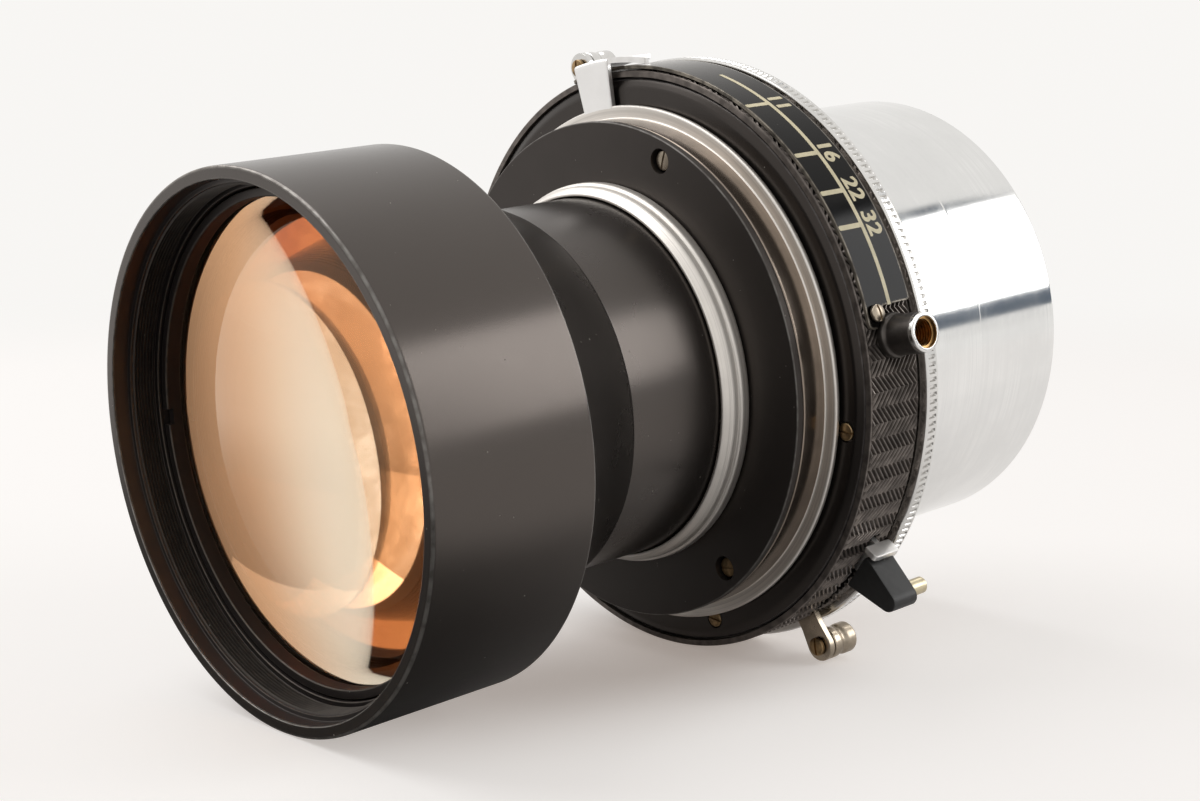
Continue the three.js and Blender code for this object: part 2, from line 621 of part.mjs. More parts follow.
function makeCollar() {
  const front = COLLAR_REAR - COLLAR_LENGTH;
  return piece('neck_collar', turned([
    [COLLAR_BORE_RADIUS, front],
    [COLLAR_BORE_RADIUS + COLLAR_BEVEL, front],
    [COLLAR_STEP_RADIUS, front + COLLAR_NOSE],
    [COLLAR_STEP_RADIUS, front + COLLAR_STEP],
    [COLLAR_RADIUS, front + COLLAR_STEP + COLLAR_BEVEL],
    [COLLAR_RADIUS, COLLAR_REAR],
    [COLLAR_BORE_RADIUS, COLLAR_REAR],
  ]), ALUMINIUM);
}

// A slotted screw head along the lens axis, seen from the front.
function slottedHead(radius, front, height, centre, slotAngle) {
  const head = bar(radius, front, front + height, centre);
  const slot = new THREE.BoxGeometry(2 * radius + CUT_MARGIN, 2 * SCREW_SLOT_DEPTH, SCREW_SLOT_WIDTH);
  slot.rotateY(-radians(slotAngle));
  slot.translate(centre[0], front, centre[1]);
  return cut(head, slot);
}

function makeDisc() {
  const holes = DISC_HOLE_ANGLES.map((angle) => (
    bar(DISC_HOLE_RADIUS, DISC_FRONT - CUT_MARGIN, HUB_FRONT, polar(DISC_HOLE_CIRCLE, angle))
  ));
  const disc = ring(COLLAR_BORE_RADIUS, DISC_RADIUS, DISC_FRONT, DISC_FRONT + DISC_THICKNESS, RIM_FACETS);
  const screws = DISC_HOLE_ANGLES.map((angle, k) => piece(
    `disc_screw_${k + 1}`,
    slottedHead(
      DISC_SCREW_RADIUS,
      HUB_FRONT - SEAT_GAP - DISC_SCREW_HEIGHT,
      DISC_SCREW_HEIGHT,
      polar(DISC_HOLE_CIRCLE, angle),
      angle + DISC_SCREW_SLOT_TURN,
    ),
    NICKEL,
  ));
  return [piece('flange_disc', cut(disc, ...holes), BLACK), ...screws];
}

// Iris housing: the hub that the aperture ring turns on, with the floor that carries the iris. The hub
// has a notch for the lug that drives the iris.
function makeIrisHousing() {
  const hub = turned([
    [HUB_BORE_RADIUS, HUB_FRONT],
    [HUB_RADIUS, HUB_FRONT],
    [HUB_RADIUS, HUB_REAR],
    [IRIS_RING_BORE_RADIUS, HUB_REAR],
    [IRIS_RING_BORE_RADIUS, HUB_REAR - HUB_FLOOR],
    [HUB_BORE_RADIUS, HUB_REAR - HUB_FLOOR],
  ], INNER_FACETS);
  const notch = sheet(
    sector(
      HUB_BORE_RADIUS - CUT_MARGIN,
      HUB_RADIUS + CUT_MARGIN,
      DRIVE_LUG_ANGLE - APERTURE_TURN - DRIVE_LUG_SPAN,
      DRIVE_LUG_ANGLE + DRIVE_LUG_SPAN,
    ),
    HUB_FRONT - CUT_MARGIN,
    CUT_MARGIN + SEAT_GAP + DRIVE_LUG_DEPTH + SLIDE_GAP,
  );
  return piece('iris_housing', cut(hub, notch), BLACK);
}

function makeCamRing() {
  const lug = sheet(
    sector(
      HUB_BORE_RADIUS - DRIVE_LUG_ROOT,
      HUB_RADIUS,
      DRIVE_LUG_ANGLE - DRIVE_LUG_SPAN / 2,
      DRIVE_LUG_ANGLE + DRIVE_LUG_SPAN / 2,
    ),
    CAM_RING_FRONT,
    CAM_RING_THICKNESS,
  );
  const body = ring(
    IRIS_RING_BORE_RADIUS,
    HUB_BORE_RADIUS - SEAT_GAP,
    CAM_RING_FRONT,
    CAM_RING_FRONT + CAM_RING_THICKNESS,
  );
  return piece('iris_cam_ring', join(body, lug), BLACK_BLADE);
}

// Points on a circle round a centre, one for each of the angles.
function around([x, z], radius, angles) {
  return angles.map((angle) => {
    const [dx, dz] = polar(radius, angle);
    return [x + dx, z + dz];
  });
}

// One iris blade, pivoted at angle 0 and lying clear of the opening: a bow with two round ends.
function irisBladeOutline() {
  const pivot = [IRIS_BLADE_OUTER_RADIUS - IRIS_BLADE_TAIL, 0];
  const end = polar((IRIS_BLADE_OUTER_RADIUS + IRIS_BLADE_INNER_RADIUS) / 2, IRIS_BLADE_SPAN);
  const halfWidth = (IRIS_BLADE_OUTER_RADIUS - IRIS_BLADE_INNER_RADIUS) / 2;
  const steps = Math.floor(IRIS_BLADE_SPAN / IRIS_BLADE_STEP);
  const angles = Array.from({ length: steps }, (_, k) => (k + 1) * IRIS_BLADE_STEP);
  return [
    ...around(pivot, IRIS_BLADE_TAIL, [-150, -100, -50, 0]),
    ...around([0, 0], IRIS_BLADE_OUTER_RADIUS, angles),
    ...around(end, halfWidth, [130, 170, 210]),
    ...around([0, 0], IRIS_BLADE_INNER_RADIUS, angles.reverse()),
  ];
}

function makeIrisBlades() {
  return Array.from({ length: IRIS_BLADE_COUNT }, (_, k) => piece(
    `iris_blade_${k + 1}`,
    roundTo(
      sheet(irisBladeOutline(), IRIS_BLADE_START + k * IRIS_BLADE_PITCH, IRIS_BLADE_THICKNESS),
      (360 / IRIS_BLADE_COUNT) * k,
    ),
    BLACK_BLADE,
  ));
}

// Aperture ring: boss, thin flange, the arm folded over the rim and the pointer along the scale.
function makeApertureRing() {
  const body = turned([
    [BOSS_BORE_RADIUS, HUB_FRONT],
    [BOSS_RADIUS - SMALL_BEVEL, HUB_FRONT],
    [BOSS_RADIUS, HUB_FRONT + SMALL_BEVEL],
    [BOSS_RADIUS, FLANGE_FRONT],
    [FLANGE_RADIUS, FLANGE_FRONT],
    [FLANGE_RADIUS, APERTURE_RING_REAR],
    [BOSS_BORE_RADIUS, APERTURE_RING_REAR],
  ]);
  const foldRadius = ARM_TOP_RADIUS - ARM_SHEET;
  const arm = sheet(
    sector(FLANGE_RADIUS - CUT_MARGIN, ARM_TOP_RADIUS, ARM_START_ANGLE, ARM_END_ANGLE),
    FLANGE_FRONT,
    FLANGE_THICKNESS,
  );
  const fold = sheet(
    sector(foldRadius, ARM_TOP_RADIUS, ARM_START_ANGLE, ARM_END_ANGLE),
    FLANGE_FRONT,
    ARM_REAR - FLANGE_FRONT,
  );
  const angleAt = (step) => (
    THREE.MathUtils.lerp(POINTER_TIP_ANGLE, ARM_START_ANGLE + 1, step / POINTER_STEPS)
  );
  const pointer = Array.from({ length: POINTER_STEPS }, (_, k) => sheet(
    sector(foldRadius, ARM_TOP_RADIUS, angleAt(k), angleAt(k + 1)),
    FLANGE_FRONT,
    THREE.MathUtils.lerp(POINTER_TIP_WIDTH, POINTER_WIDTH, (k + 1) / POINTER_STEPS),
  ));
  return piece('aperture_ring', join(body, arm, fold, ...pointer), CHROME);
}

function makeBackPlate() {
  const plate = turned([
    [PLATE_BORE_RADIUS, PLATE_FRONT],
    [PLATE_FACE_RADIUS, PLATE_FRONT],
    [PLATE_RADIUS, PLATE_FRONT + PLATE_CHAMFER],
    [PLATE_RADIUS, PLATE_REAR],
    [PLATE_BORE_RADIUS, PLATE_REAR],
  ]);
  const headFront = PLATE_FRONT - PLATE_SCREW_RISE;
  const headRear = headFront + PLATE_SCREW_HEIGHT;
  const sinks = PLATE_SCREW_ANGLES.map((angle) => bar(
    PLATE_SCREW_RADIUS + SEAT_GAP,
    headFront - CUT_MARGIN,
    headRear + SEAT_GAP,
    polar(PLATE_SCREW_CIRCLE, angle),
  ));
  const screws = PLATE_SCREW_ANGLES.map((angle, k) => piece(
    `plate_screw_${k + 1}`,
    slottedHead(
      PLATE_SCREW_RADIUS,
      headFront,
      PLATE_SCREW_HEIGHT,
      polar(PLATE_SCREW_CIRCLE, angle),
      angle + 90,
    ),
    BRASS,
  ));
  return [piece('back_plate', cut(plate, ...sinks), BLACK_GLOSS), ...screws];
}

// The slot that a lever needs, from how wide it is there and how far it swings about its eye.
function leverSlot(angle, swing) {
  const halfWidth = THREE.MathUtils.radToDeg((LEVER_WIDTH / 2 + SLIDE_GAP) / RIM_BORE_RADIUS);
  const sweep = (swing * (RIM_RADIUS - LEVER_PIVOT_RADIUS)) / RIM_RADIUS;
  return sheet(
    sector(
      RIM_BORE_RADIUS - CUT_MARGIN,
      RIM_RADIUS + CUT_MARGIN,
      angle - halfWidth,
      angle + halfWidth + sweep,
    ),
    LEVER_FRONT - SLIDE_GAP,
    LEVER_SHEET + 2 * SLIDE_GAP,
  );
}

function makeHousing() {
  const band = turned([
    [PLATE_RADIUS + SEAT_GAP, RIM_FRONT],
    [RIM_RADIUS - SMALL_BEVEL, RIM_FRONT],
    [RIM_RADIUS, RIM_FRONT + SMALL_BEVEL],
    [RIM_RADIUS, RIM_REAR],
    [RIM_BORE_RADIUS, RIM_REAR],
    [RIM_BORE_RADIUS, RIM_LEDGE],
    [PLATE_RADIUS + SEAT_GAP, RIM_LEDGE],
  ]);
  const settingSlot = sheet(
    sector(
      RIM_BORE_RADIUS - CUT_MARGIN,
      RIM_RADIUS + CUT_MARGIN,
      SETTING_ARM_ANGLES[0] - SETTING_STROKE - 1,
      SETTING_ARM_ANGLES[1] + 1,
    ),
    SETTING_FRONT - SLIDE_GAP,
    SETTING_SHEET + 2 * SLIDE_GAP,
  );
  return piece('shutter_housing', cut(
    band,
    settingSlot,
    leverSlot(RELEASE_ANGLE, RELEASE_SWING),
    leverSlot(FOCUS_ANGLE, FOCUS_SWING),
  ), BLACK);
}

// A body that was made pointing along +Y, stood on the rim at an angle and a place.
function onRim(geometry, angle, place) {
  const stood = geometry.clone().rotateZ(-Math.PI / 2);
  stood.translate(0, place, 0);
  return roundTo(stood, angle);
}

function makeScale() {
  const inner = RIM_RADIUS + SEAT_GAP;
  const main = sheet(
    sector(inner, SCALE_RADIUS, SCALE_START_ANGLE, SCALE_END_ANGLE),
    SCALE_FRONT,
    SCALE_REAR - SCALE_FRONT,
  );
  const tab = sheet(
    sector(inner, SCALE_RADIUS, SCALE_TAB_ANGLE, SCALE_START_ANGLE + 1),
    SCALE_FRONT,
    SCALE_TAB_REAR - SCALE_FRONT,
  );
  const clearance = bar(SOCKET_BASE_RADIUS + SEAT_GAP, RIM_BORE_RADIUS, SOCKET_TOP, [0, 0]);
  const plate = cut(join(main, tab), onRim(clearance, SOCKET_ANGLE, SOCKET_PLACE));
  const seat = SCALE_RADIUS + SEAT_GAP;
  const dome = turned([
    [0, seat],
    [SCALE_SCREW_RADIUS, seat],
    [SCALE_SCREW_RADIUS, seat + SCALE_SCREW_HEIGHT / 2],
    [SCALE_SCREW_RADIUS * SCALE_SCREW_CROWN, seat + SCALE_SCREW_HEIGHT],
    [0, seat + SCALE_SCREW_HEIGHT],
  ], SMALL_FACETS);
  const slot = new THREE.BoxGeometry(
    2 * SCALE_SCREW_RADIUS + CUT_MARGIN,
    2 * SCREW_SLOT_DEPTH,
    SCREW_SLOT_WIDTH,
  );
  slot.rotateY(radians(SCALE_SCREW_SLOT_TURN));
  slot.translate(0, seat + SCALE_SCREW_HEIGHT, 0);
  const head = cut(dome, slot);
  return [
    piece('scale_plate', plate, BLACK_GLOSS),
    ...SCALE_SCREW_ANGLES.map((angle, k) => (
      piece(`scale_screw_${k + 1}`, onRim(head, angle, SCALE_SCREW_PLACE), NICKEL)
    )),
  ];
}

function makeSocket() {
  const seat = RIM_RADIUS + SEAT_GAP;
  const tube = turned([
    [0, seat],
    [SOCKET_BASE_RADIUS, seat],
    [SOCKET_BASE_RADIUS, seat + SOCKET_BASE_HEIGHT],
    [SOCKET_RADIUS, seat + SOCKET_BASE_HEIGHT + SMALL_BEVEL],
    [SOCKET_RADIUS, SOCKET_TOP - SMALL_BEVEL],
    [SOCKET_RADIUS - SMALL_BEVEL, SOCKET_TOP],
    [SOCKET_BORE_RADIUS, SOCKET_TOP],
    [SOCKET_BORE_RADIUS, SOCKET_TOP - SOCKET_BORE_DEPTH],
    [0, SOCKET_TOP - SOCKET_BORE_DEPTH],
  ], SMALL_FACETS);
  return piece('cable_socket', onRim(tube, SOCKET_ANGLE, SOCKET_PLACE), NICKEL);
}

// One shutter blade, pivoted at angle 0. It is cut as it lies when open, then swung shut.
function makeShutterBlades() {
  const outline = sector(
    SHUTTER_BLADE_INNER_RADIUS,
    SHUTTER_BLADE_OUTER_RADIUS,
    -SHUTTER_BLADE_TAIL,
    SHUTTER_BLADE_SPAN,
  );
  return Array.from({ length: SHUTTER_BLADE_COUNT }, (_, k) => {
    const front = SHUTTER_BLADE_START + k * SHUTTER_BLADE_PITCH;
    const blade = sheet(outline, front, SHUTTER_BLADE_THICKNESS);
    blade.translate(-SHUTTER_BLADE_PIVOT, 0, 0);
    blade.rotateY(-radians(SHUTTER_BLADE_SWING));
    blade.translate(SHUTTER_BLADE_PIVOT, 0, 0);
    return piece(`shutter_blade_${k + 1}`, roundTo(blade, (360 / SHUTTER_BLADE_COUNT) * k), BLACK_BLADE);
  });
}

function makeMechanism() {
  const bladeRing = ring(
    PLATE_BORE_RADIUS + CUT_MARGIN,
    INNER_PLATE_RADIUS - SEAT_GAP,
    BLADE_RING_FRONT,
    BLADE_RING_FRONT + BLADE_RING_THICKNESS,
  );
  const plate = turned([
    [PLATE_BORE_RADIUS, MECHANISM_FRONT],
    [INNER_PLATE_RADIUS, MECHANISM_FRONT],
    [INNER_PLATE_RADIUS, MECHANISM_REAR],
    [MECHANISM_HUB_RADIUS, MECHANISM_REAR],
    [MECHANISM_HUB_RADIUS, MECHANISM_REAR + MECHANISM_HUB_LENGTH],
    [PLATE_BORE_RADIUS, MECHANISM_REAR + MECHANISM_HUB_LENGTH],
  ], INNER_FACETS);
  const springRadius = MECHANISM_HUB_RADIUS + SLIDE_GAP;
  const spring = sheet(
    sector(springRadius, springRadius + SPRING_WIDTH, 0, SPRING_SPAN, SPRING_STEP),
    SETTING_REAR + SEAT_GAP,
    SPRING_THICKNESS,
  );
  return [
    piece('blade_ring', bladeRing, STEEL),
    piece('mechanism_plate', plate, STEEL),
    piece('mainspring', spring, STEEL),
  ];
}

// Setting lever: a ring inside the housing, an arm through the slot and a tongue that holds the grip.
function makeSettingLever() {
  const inner = MECHANISM_HUB_RADIUS + SLIDE_GAP;
  const body = ring(inner, inner + SETTING_RING_WIDTH, SETTING_FRONT, SETTING_REAR);
  const armEnd = GRIP_ROOT_RADIUS - SEAT_GAP;
  const arm = sheet(
    sector(inner + SETTING_RING_WIDTH - CUT_MARGIN, armEnd, ...SETTING_ARM_ANGLES),
    SETTING_FRONT,
    SETTING_SHEET,
  );
  const tongueEnd = SETTING_ARM_ANGLES[1];
  const tongue = sheet(
    sector(
      armEnd - SETTING_TONGUE_ROOT,
      armEnd + SETTING_TONGUE_HEIGHT,
      tongueEnd - SETTING_TONGUE_THICKNESS,
      tongueEnd,
    ),
    SETTING_FRONT - SETTING_TONGUE_REACH,
    SETTING_SHEET + 2 * SETTING_TONGUE_REACH,
  );
  return piece('setting_lever', join(body, arm, tongue), CHROME);
}

function makeGrip() {
  const outline = [
    polar(GRIP_ROOT_RADIUS, GRIP_ROOT_ANGLES[0]),
    polar(GRIP_TIP_RADIUS - GRIP_TIP_BEVEL, GRIP_TIP_ANGLES[0]),
    polar(GRIP_TIP_RADIUS, (GRIP_TIP_ANGLES[0] * 2 + GRIP_TIP_ANGLES[1]) / 3),
    polar(GRIP_TIP_RADIUS, (GRIP_TIP_ANGLES[0] + GRIP_TIP_ANGLES[1] * 2) / 3),
    polar(GRIP_TIP_RADIUS - GRIP_TIP_BEVEL, GRIP_TIP_ANGLES[1]),
    polar(GRIP_ROOT_RADIUS + GRIP_ROOT_BEVEL, GRIP_ROOT_ANGLES[1]),
    polar(GRIP_ROOT_RADIUS, GRIP_ROOT_ANGLES[1] - GRIP_ROOT_TURN),
  ];
  const pinFront = GRIP_FRONT + GRIP_LENGTH + SEAT_GAP;
  return [
    piece('setting_grip', sheet(outline, GRIP_FRONT, GRIP_LENGTH), PLASTIC),
    piece('grip_pin', bar(
      GRIP_PIN_RADIUS,
      pinFront,
      pinFront + GRIP_PIN_LENGTH,
      polar(GRIP_PIN_PLACE_RADIUS, GRIP_PIN_ANGLE),
    ), BRASS),
  ];
}

// A lever of the kind that ends in a knob: arm from its eye inside to its round tip outside.
function makeLever(name, angle, look) {
  const half = LEVER_WIDTH / 2;
  const tip = around([LEVER_END_RADIUS, 0], LEVER_TIP_RADIUS, [-70, -35, 0, 35, 70]);
  const eye = around([LEVER_PIVOT_RADIUS, 0], LEVER_EYE_RADIUS, [120, 150, 180, 210, 240]);
  const outline = [
    ...tip,
    [LEVER_END_RADIUS - LEVER_TIP_RADIUS, half],
    [LEVER_PIVOT_RADIUS + LEVER_EYE_RADIUS, half],
    ...eye,
    [LEVER_PIVOT_RADIUS + LEVER_EYE_RADIUS, -half],
    [LEVER_END_RADIUS - LEVER_TIP_RADIUS, -half],
  ];
  const eyeHole = circleHole(LEVER_STUD_RADIUS + SEAT_GAP, [LEVER_PIVOT_RADIUS, 0]);
  const arm = sheet(outline, LEVER_FRONT, LEVER_SHEET, [eyeHole]);
  const knobFront = LEVER_REAR + SEAT_GAP;
  const knobRear = knobFront + KNOB_LENGTH;
  const knob = turned([
    [0, knobFront],
    [LEVER_TIP_RADIUS - SMALL_BEVEL, knobFront],
    [LEVER_TIP_RADIUS, knobFront + SMALL_BEVEL],
    [LEVER_TIP_RADIUS, knobFront + KNOB_LENGTH * (KNOB_WAIST_PLACE - KNOB_WAIST_REACH)],
    [LEVER_TIP_RADIUS - KNOB_WAIST, knobFront + KNOB_LENGTH * KNOB_WAIST_PLACE],
    [LEVER_TIP_RADIUS, knobFront + KNOB_LENGTH * (KNOB_WAIST_PLACE + KNOB_WAIST_REACH)],
    [LEVER_TIP_RADIUS, knobRear - SMALL_BEVEL],
    [LEVER_TIP_RADIUS - SMALL_BEVEL, knobRear],
    [0, knobRear],
  ], SMALL_FACETS);
  knob.translate(LEVER_END_RADIUS, 0, 0);
  const screwFront = LEVER_FRONT - SEAT_GAP - PLATE_SCREW_HEIGHT;
  const screw = slottedHead(
    KNOB_SCREW_RADIUS,
    screwFront,
    PLATE_SCREW_HEIGHT,
    [LEVER_END_RADIUS, 0],
    KNOB_SCREW_SLOT_TURN,
  );
  return [
    piece(`${name}_lever`, roundTo(arm, angle), look),
    piece(`${name}_knob`, roundTo(knob, angle), look),
    piece(`${name}_screw`, roundTo(screw, angle), BRASS),
  ];
}

// Rear plate: it closes the housing, carries the studs of the two levers, and its hub carries the speed
// ring and the rear barrel.
function makeRearPlate() {
  const body = turned([
    [REAR_PLATE_BORE_RADIUS, REAR_PLATE_FRONT],
    [INNER_PLATE_RADIUS, REAR_PLATE_FRONT],
    [INNER_PLATE_RADIUS, REAR_PLATE_REAR],
    [REAR_HUB_RADIUS, REAR_PLATE_REAR],
    [REAR_HUB_RADIUS, REAR_HUB_END],
    [BARREL_RADIUS + SEAT_GAP, REAR_HUB_END],
    [BARREL_RADIUS + SEAT_GAP, REAR_PLATE_REAR],
    [REAR_PLATE_BORE_RADIUS, REAR_PLATE_REAR],
  ]);
  const studs = [RELEASE_ANGLE, FOCUS_ANGLE].map((angle) => bar(
    LEVER_STUD_RADIUS,
    LEVER_FRONT,
    REAR_PLATE_FRONT + REAR_PLATE_THICKNESS / 2,
    polar(LEVER_PIVOT_RADIUS, angle),
  ));
  return piece('rear_plate', join(body, ...studs), STEEL);
}

function makeSpeedRing() {
  return piece('speed_ring', turned([
    [REAR_HUB_RADIUS + SEAT_GAP, SPEED_RING_FRONT],
    [SPEED_RING_RADIUS - SPEED_RING_BEVEL, SPEED_RING_FRONT],
    [SPEED_RING_RADIUS, SPEED_RING_FRONT + SPEED_RING_BEVEL],
    [SPEED_RING_RADIUS, SPEED_RING_REAR - SPEED_RING_BEVEL],
    [SPEED_RING_RADIUS - SPEED_RING_BEVEL, SPEED_RING_REAR],
    [REAR_HUB_RADIUS + SEAT_GAP, SPEED_RING_REAR],
  ]), CHROME);
}

function makeCap() {
  return piece('speed_ring_cap', turned([
    [BARREL_RADIUS + SEAT_GAP, CAP_FRONT],
    [CAP_RADIUS, CAP_FRONT],
    [CAP_RADIUS, CAP_FRONT + CAP_THICKNESS - SMALL_BEVEL],
    [CAP_RADIUS - SMALL_BEVEL, CAP_FRONT + CAP_THICKNESS],
    [BARREL_RADIUS + SEAT_GAP, CAP_FRONT + CAP_THICKNESS],
  ]), BLACK);
}

// Rear barrel in two sections. The second has a spigot in the first, which holds the middle glass.
function makeBarrel() {
  const first = turned([
    [BARREL_BORE_RADIUS, BARREL_START],
    [BARREL_RADIUS, BARREL_START],
    [BARREL_RADIUS, BARREL_JOIN],
    [BARREL_BORE_RADIUS, BARREL_JOIN],
  ]);
  const second = turned([
    [SPIGOT_RADIUS - BARREL_SPIGOT_WALL, BARREL_SPIGOT_START],
    [SPIGOT_RADIUS, BARREL_SPIGOT_START],
    [SPIGOT_RADIUS, BARREL_SECOND_START],
    [BARREL_END_RADIUS, BARREL_SECOND_START],
    [BARREL_END_RADIUS, BARREL_END - BARREL_BEVEL],
    [BARREL_END_RADIUS - BARREL_BEVEL, BARREL_END],
    [REAR_GLASS_BORE_RADIUS, BARREL_END],
    [REAR_GLASS_BORE_RADIUS, REAR_SEAT],
    [REAR_SEAT_BORE_RADIUS, REAR_SEAT],
  ]);
  const middleRear = BARREL_SPIGOT_START - SEAT_GAP;
  const rearRadius = REAR_GLASS_BORE_RADIUS - SEAT_GAP;
  const rearFront = REAR_SEAT + SEAT_GAP;
  const rearRear = rearFront + REAR_GLASS_EDGE;
  const ringFront = rearRear + SEAT_GAP;
  return [
    piece('rear_barrel', first, ALUMINIUM),
    piece('rear_barrel_end', second, ALUMINIUM),
    piece('middle_element', glass(
      BARREL_BORE_RADIUS - SEAT_GAP,
      middleRear - MIDDLE_GLASS_EDGE,
      middleRear,
      MIDDLE_GLASS_FRONT_CURVE_RADIUS,
      MIDDLE_GLASS_REAR_CURVE_RADIUS,
      SPIGOT_RADIUS - BARREL_SPIGOT_WALL - GLASS_LAND_MARGIN,
    ), COATED_GLASS),
    piece('rear_element', glass(
      rearRadius,
      rearFront,
      rearRear,
      REAR_GLASS_FRONT_CURVE_RADIUS,
      REAR_GLASS_REAR_CURVE_RADIUS,
      rearRadius - REAR_RING_WIDTH - GLASS_LAND_MARGIN,
    ), COATED_GLASS),
    piece('rear_retaining_ring', ring(
      rearRadius - REAR_RING_WIDTH,
      rearRadius,
      ringFront,
      ringFront + REAR_RING_THICKNESS,
    ), BLACK),
  ];
}

const lens = group(
  makeHood(),
  ...makeFrontGlass(),
  makeCellTube(),
  ...makePair(),
  ...makeInnerGlass(),
  makeCollar(),
  ...makeDisc(),
  makeIrisHousing(),
  ...makeIrisBlades(),
  group(makeApertureRing(), makeCamRing()),
  ...makeBackPlate(),
  makeHousing(),
  ...makeScale(),
  makeSocket(),
  ...makeShutterBlades(),
  ...makeMechanism(),
  group(makeSettingLever(), ...makeGrip()),
  group(...makeLever('release', RELEASE_ANGLE, NICKEL)),
  group(...makeLever('focus', FOCUS_ANGLE, CHROME)),
  makeRearPlate(),
  makeSpeedRing(),
  makeCap(),
  ...makeBarrel(),
);

// The lens lies on a flat of the hood's front edge and a flat of the speed ring's front edge.
const flat = Math.cos(Math.PI / RIM_FACETS);
const rise = (SPEED_RING_RADIUS - HOOD_RADIUS) * flat;
const run = SPEED_RING_FRONT + SPEED_RING_BEVEL - HOOD_FRONT_BEVEL;
lens.rotation.x = Math.atan2(rise, run);

const part = group(lens);
part.updateMatrixWorld(true);
const bounds = new THREE.Box3().setFromObject(part, true);
const middle = bounds.getCenter(new THREE.Vector3());
lens.position.set(-middle.x, -middle.y, -bounds.min.z);
part.updateMatrixWorld(true);

export default part;
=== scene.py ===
"""Looks of a view-camera lens in a large leaf shutter, built around its CAD frame.

Lengths are millimetres in the lens's own frame: r is the distance from the lens axis, y runs along the
axis from the hood's front to the rear glass, and an angle round the lens goes from +X towards +Z.
"""

import logging
import math
from collections.abc import Callable
from dataclasses import dataclass, field
from enum import Enum

import bmesh
import bpy
from mathutils import Euler, Matrix, Vector


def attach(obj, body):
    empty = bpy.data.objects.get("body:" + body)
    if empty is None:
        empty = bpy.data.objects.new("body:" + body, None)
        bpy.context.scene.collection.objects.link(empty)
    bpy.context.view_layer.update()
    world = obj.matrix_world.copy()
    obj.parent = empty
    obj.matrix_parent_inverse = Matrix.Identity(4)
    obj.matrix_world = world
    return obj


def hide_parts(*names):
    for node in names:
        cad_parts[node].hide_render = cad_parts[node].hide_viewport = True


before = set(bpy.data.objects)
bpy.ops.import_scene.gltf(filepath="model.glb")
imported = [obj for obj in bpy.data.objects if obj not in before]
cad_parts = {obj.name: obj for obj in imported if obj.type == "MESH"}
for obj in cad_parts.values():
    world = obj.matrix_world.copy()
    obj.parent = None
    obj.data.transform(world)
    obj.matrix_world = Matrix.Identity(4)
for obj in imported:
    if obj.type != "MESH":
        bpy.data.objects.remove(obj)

LOG = logging.getLogger("lens")

Outline = list[tuple[float, ...]]
Colour = tuple[float, float, float]
Mesh = bpy.types.Object
Socket = bpy.types.NodeSocket

# Where the lens lies
LENS_FRONT = (-3.40156, -81.65903, 49.61290)
LENS_TILT = math.radians(4.894652)
MILLIMETRE = 0.001
LENS_TO_ROW = (
    Matrix.Scale(MILLIMETRE, 4) @ Matrix.Translation(LENS_FRONT) @ Matrix.Rotation(LENS_TILT, 4, "X")
)

# How finely round things are cut
RIM_STEPS = 192
INNER_STEPS = 96
SMALL_STEPS = 40
EASE_STEPS = 4
EDGE_GUARD = 0.3  # from an edge to the line that keeps its wear beside it
CORNER_TURN = math.radians(30)
GLASS_STEPS = 14
SMOOTH_TURN = math.radians(32)
EDGE_FIRST_TURN = math.radians(9.5)
EDGE_FULL_TURN = math.radians(26)
MERGE = 1e-4
CUT_MARGIN = 1.0
SEAT_GAP = 0.3  # between pieces that rest on each other
INSET = 0.01  # keeps a joined piece within the faces of the one it joins


class Body(Enum):
    """The moving bodies of the CAD frame."""

    HOUSING = "housing"
    APERTURE = "aperture"
    SPEED = "speed"
    SETTING = "setting"
    RELEASE = "release"
    FOCUS = "focus"


class Slot(Enum):
    """The material slots of the record."""

    BLACK_METAL = "black_metal"
    BLACK_GLOSS = "black_gloss"
    COATED_GLASS = "coated_glass"
    TURNED_ALUMINIUM = "turned_aluminium"
    BLACKENED_BLADE = "blackened_blade"
    BRIGHT_CHROME = "bright_chrome"
    WARM_NICKEL = "warm_nickel"
    BRASS = "brass"
    SPRING_STEEL = "spring_steel"
    BLACK_PLASTIC = "black_plastic"


# Shapes, as made at the bench


def deselect_all() -> None:
    """Leaves nothing selected, so that the next operator acts on new work alone."""
    bpy.ops.object.select_all(action="DESELECT")


def pick(obj: Mesh) -> Mesh:
    """Selects one object alone and makes it the active one.

    Args:
        obj: The object to work on.

    Returns:
        The same object.
    """
    deselect_all()
    obj.select_set(True)
    bpy.context.view_layer.objects.active = obj
    return obj


def around_axis(angle: float) -> Matrix:
    """The turn that takes +X to an angle round the lens, in degrees."""
    return Matrix.Rotation(-math.radians(angle), 4, "Y")


def polar(radius: float, angle: float) -> tuple[float, float]:
    """The X and Z of a point at a radius and an angle in degrees."""
    return radius * math.cos(math.radians(angle)), radius * math.sin(math.radians(angle))


def on_rim(angle: float, place: float) -> Matrix:
    """The place of a piece that was made along +Y and stands on the rim.

    Args:
        angle: Where round the lens, in degrees.
        place: Where along the axis.

    Returns:
        The matrix that stands it there, pointing outwards.
    """
    stand = Matrix.Rotation(-math.pi / 2, 4, "Z")
    return around_axis(angle) @ Matrix.Translation((0, place, 0)) @ stand


